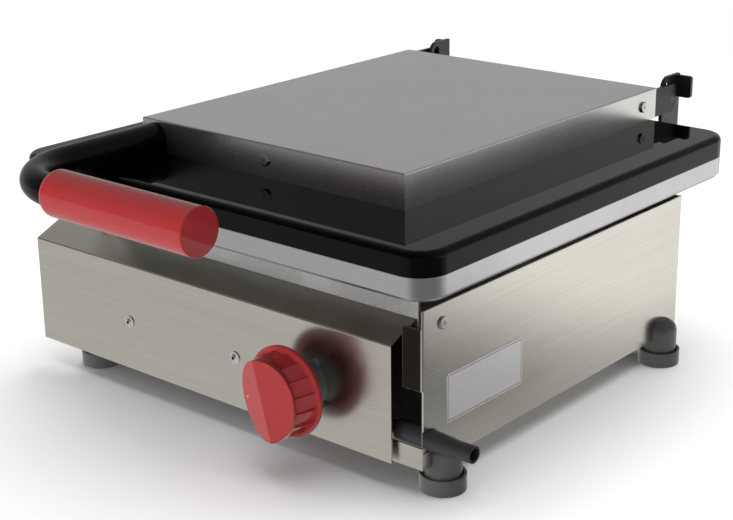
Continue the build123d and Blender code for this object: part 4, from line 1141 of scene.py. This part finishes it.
@dataclass
class Studio:
    """The pale floor, the soft light and the camera.

    Attributes:
        camera_at: the camera's place, in metres.
        camera_turn: its azimuth, height above the horizon and roll, in degrees.
        lens: focal length in millimetres.
        sensor: width of the sensor in millimetres.
        lamps: the lamps.
        sky: how bright the studio is at the horizon and overhead, as metal sees it.
        sky_top: how steeply up it is fully overhead, from 0 to 1.
        front_share: how bright the front of that sky is beside its back.
        front_to_back: between which directions along Y it changes.
        fill: how bright it is for matt surfaces, on its dim side and on its bright side.
        fill_from: where the bright side is.
        floor_size: half the floor's side.
        floor_white: the floor's reflectance as the camera sees it.
        floor_grey: its reflectance for other rays.
        floor_fade: where the floor starts to turn white, and where it is white.
        card_left: how bright metal sees the floor in front and on the left.
        card_right: how bright it sees it on the right, at the front and further back.
        card_depth: where that brightness changes along Y.
        card_split: where the left changes to the right along X.
    """

    camera_at: Triple = (0.7454, -0.8668, 0.4862)
    camera_turn: Triple = (40.579, 19.088, -0.6645)
    lens: float = 76.64
    sensor: float = 36.0
    lamps: tuple[Lamp, ...] = (
        Lamp("front_soft_box", (-1.1, -2.3, 0.45), 1.3, 12.5, Reach.ALL_BUT_FLOOR),
        Lamp("floor_soft_box", (0.05, 0.35, 1.7), 2.6, 62.0, Reach.FLOOR_ALONE),
    )
    sky: Pair = (0.55, 0.38)
    sky_top: float = 0.6
    front_share: float = 0.3
    front_to_back: Pair = (-0.6, 0.4)
    fill: Pair = (0.07, 1.25)
    fill_from: Triple = (-0.5, -0.85, -0.1)
    floor_size: float = 6.0
    floor_white: float = 0.9
    floor_grey: float = 0.55
    floor_fade: Pair = (0.35, 1.3)
    card_left: float = 0.6
    card_right: Pair = (0.22, 1.15)
    card_depth: Pair = (0.0, 0.3)
    card_split: Pair = (0.12, 0.3)

    def build(self) -> None:
        """Builds the studio."""
        self.camera()
        self.world()
        floor = self.floor()
        for lamp in self.lamps:
            lamp.build(floor)
        bpy.context.scene.view_settings.view_transform = "Standard"

    def camera(self) -> None:
        """The camera at the photograph's place and angle."""
        azimuth, height, roll = (math.radians(a) for a in self.camera_turn)
        ahead = Vector((-math.sin(azimuth) * math.cos(height),
                        math.cos(azimuth) * math.cos(height), -math.sin(height)))
        right = Vector((math.cos(azimuth), math.sin(azimuth), 0))
        up = right.cross(ahead)
        side = right * math.cos(roll) + up * math.sin(roll)
        top = up * math.cos(roll) - right * math.sin(roll)
        view = Matrix((side, top, -ahead)).transposed().to_4x4()
        view.translation = Vector(self.camera_at)
        data = bpy.data.cameras.new("photo_camera")
        data.lens = self.lens
        data.sensor_width = self.sensor
        seen_from = bpy.data.objects.new("photo_camera", data)
        bpy.context.scene.collection.objects.link(seen_from)
        seen_from.matrix_world = view
        bpy.context.scene.camera = seen_from

    def world(self) -> None:
        """A white background, and a studio of its own for metal and for matt surfaces."""
        world = bpy.data.worlds.new("studio")
        bpy.context.scene.world = world
        graph = Graph.emptied(world)
        ray = graph.node("ShaderNodeLightPath").outputs
        way = graph.node("ShaderNodeTexCoord").outputs["Object"]
        at = graph.split(way)
        mirrored = graph.calc("MULTIPLY", graph.ease(at["Z"], 0.0, self.sky_top, *self.sky),
                              graph.ease(at["Y"], *self.front_to_back, self.front_share, 1.0))
        turned = graph.vector("DOT_PRODUCT", way, self.fill_from).outputs["Value"]
        matt = graph.ease(turned, 0.0, 1.0, *self.fill)
        plain, shine, white = (
            graph.node("ShaderNodeBackground", {"Color": grey(1.0), "Strength": level}).outputs[0]
            for level in (matt, mirrored, 1.0)
        )
        bounced = graph.calc("MAXIMUM", ray["Is Glossy Ray"], ray["Is Transmission Ray"])
        both = graph.layer(ray["Is Camera Ray"], graph.layer(bounced, plain, shine), white)
        graph.node("ShaderNodeOutputWorld", {"Surface": both})

    def floor(self) -> bpy.types.Object:
        """The floor, matt under the object and white further out.

        Returns:
            The floor.
        """
        deselect()
        bpy.ops.mesh.primitive_plane_add(size=2 * self.floor_size)
        floor = bpy.context.object
        made = bpy.data.materials.new("pale_floor")
        graph = Graph.emptied(made)
        place = graph.node("ShaderNodeTexCoord").outputs["Object"]
        ray = graph.node("ShaderNodeLightPath").outputs
        shade = graph.blend(ray["Is Camera Ray"], grey(self.floor_grey), grey(self.floor_white))
        matt = graph.node("ShaderNodeBsdfDiffuse", {"Color": shade}).outputs[0]
        white = graph.node("ShaderNodeEmission", {"Strength": 1.0}).outputs[0]
        away = graph.vector("LENGTH", place).outputs["Value"]
        near = graph.layer(graph.ease(away, *self.floor_fade), matt, white)
        at = graph.split(place)
        right = graph.ease(at["Y"], *self.card_depth, *self.card_right)
        beside = graph.ease(at["X"], *self.card_split)
        level = graph.calc("ADD", graph.calc("MULTIPLY", right, beside),
                           graph.calc("MULTIPLY", self.card_left,
                                      graph.calc("SUBTRACT", 1.0, beside)))
        card = graph.node("ShaderNodeEmission", {"Strength": level}).outputs[0]
        seen = graph.layer(ray["Is Glossy Ray"], near, card)
        graph.node("ShaderNodeOutputMaterial", {"Surface": seen})
        floor.data.materials.append(made)
        floor.name = "floor"
        return floor


@dataclass
class Griddle:
    """The whole object, in the order in which it is built.

    Attributes:
        parts: its sub-assemblies.
    """

    parts: list = field(default_factory=lambda: [Body(), Feet(), Hearth(), Control(), Lid(),
                                                 Handle(), Hinge()])

    def build(self) -> None:
        """Builds each sub-assembly."""
        for part in self.parts:
            part.build()
            log.info("%s is dressed", type(part).__name__)


def main() -> None:
    """Builds the studio and the griddle."""
    Studio().build()
    Griddle().build()
    deselect()


if __name__ == "__main__":
    main()
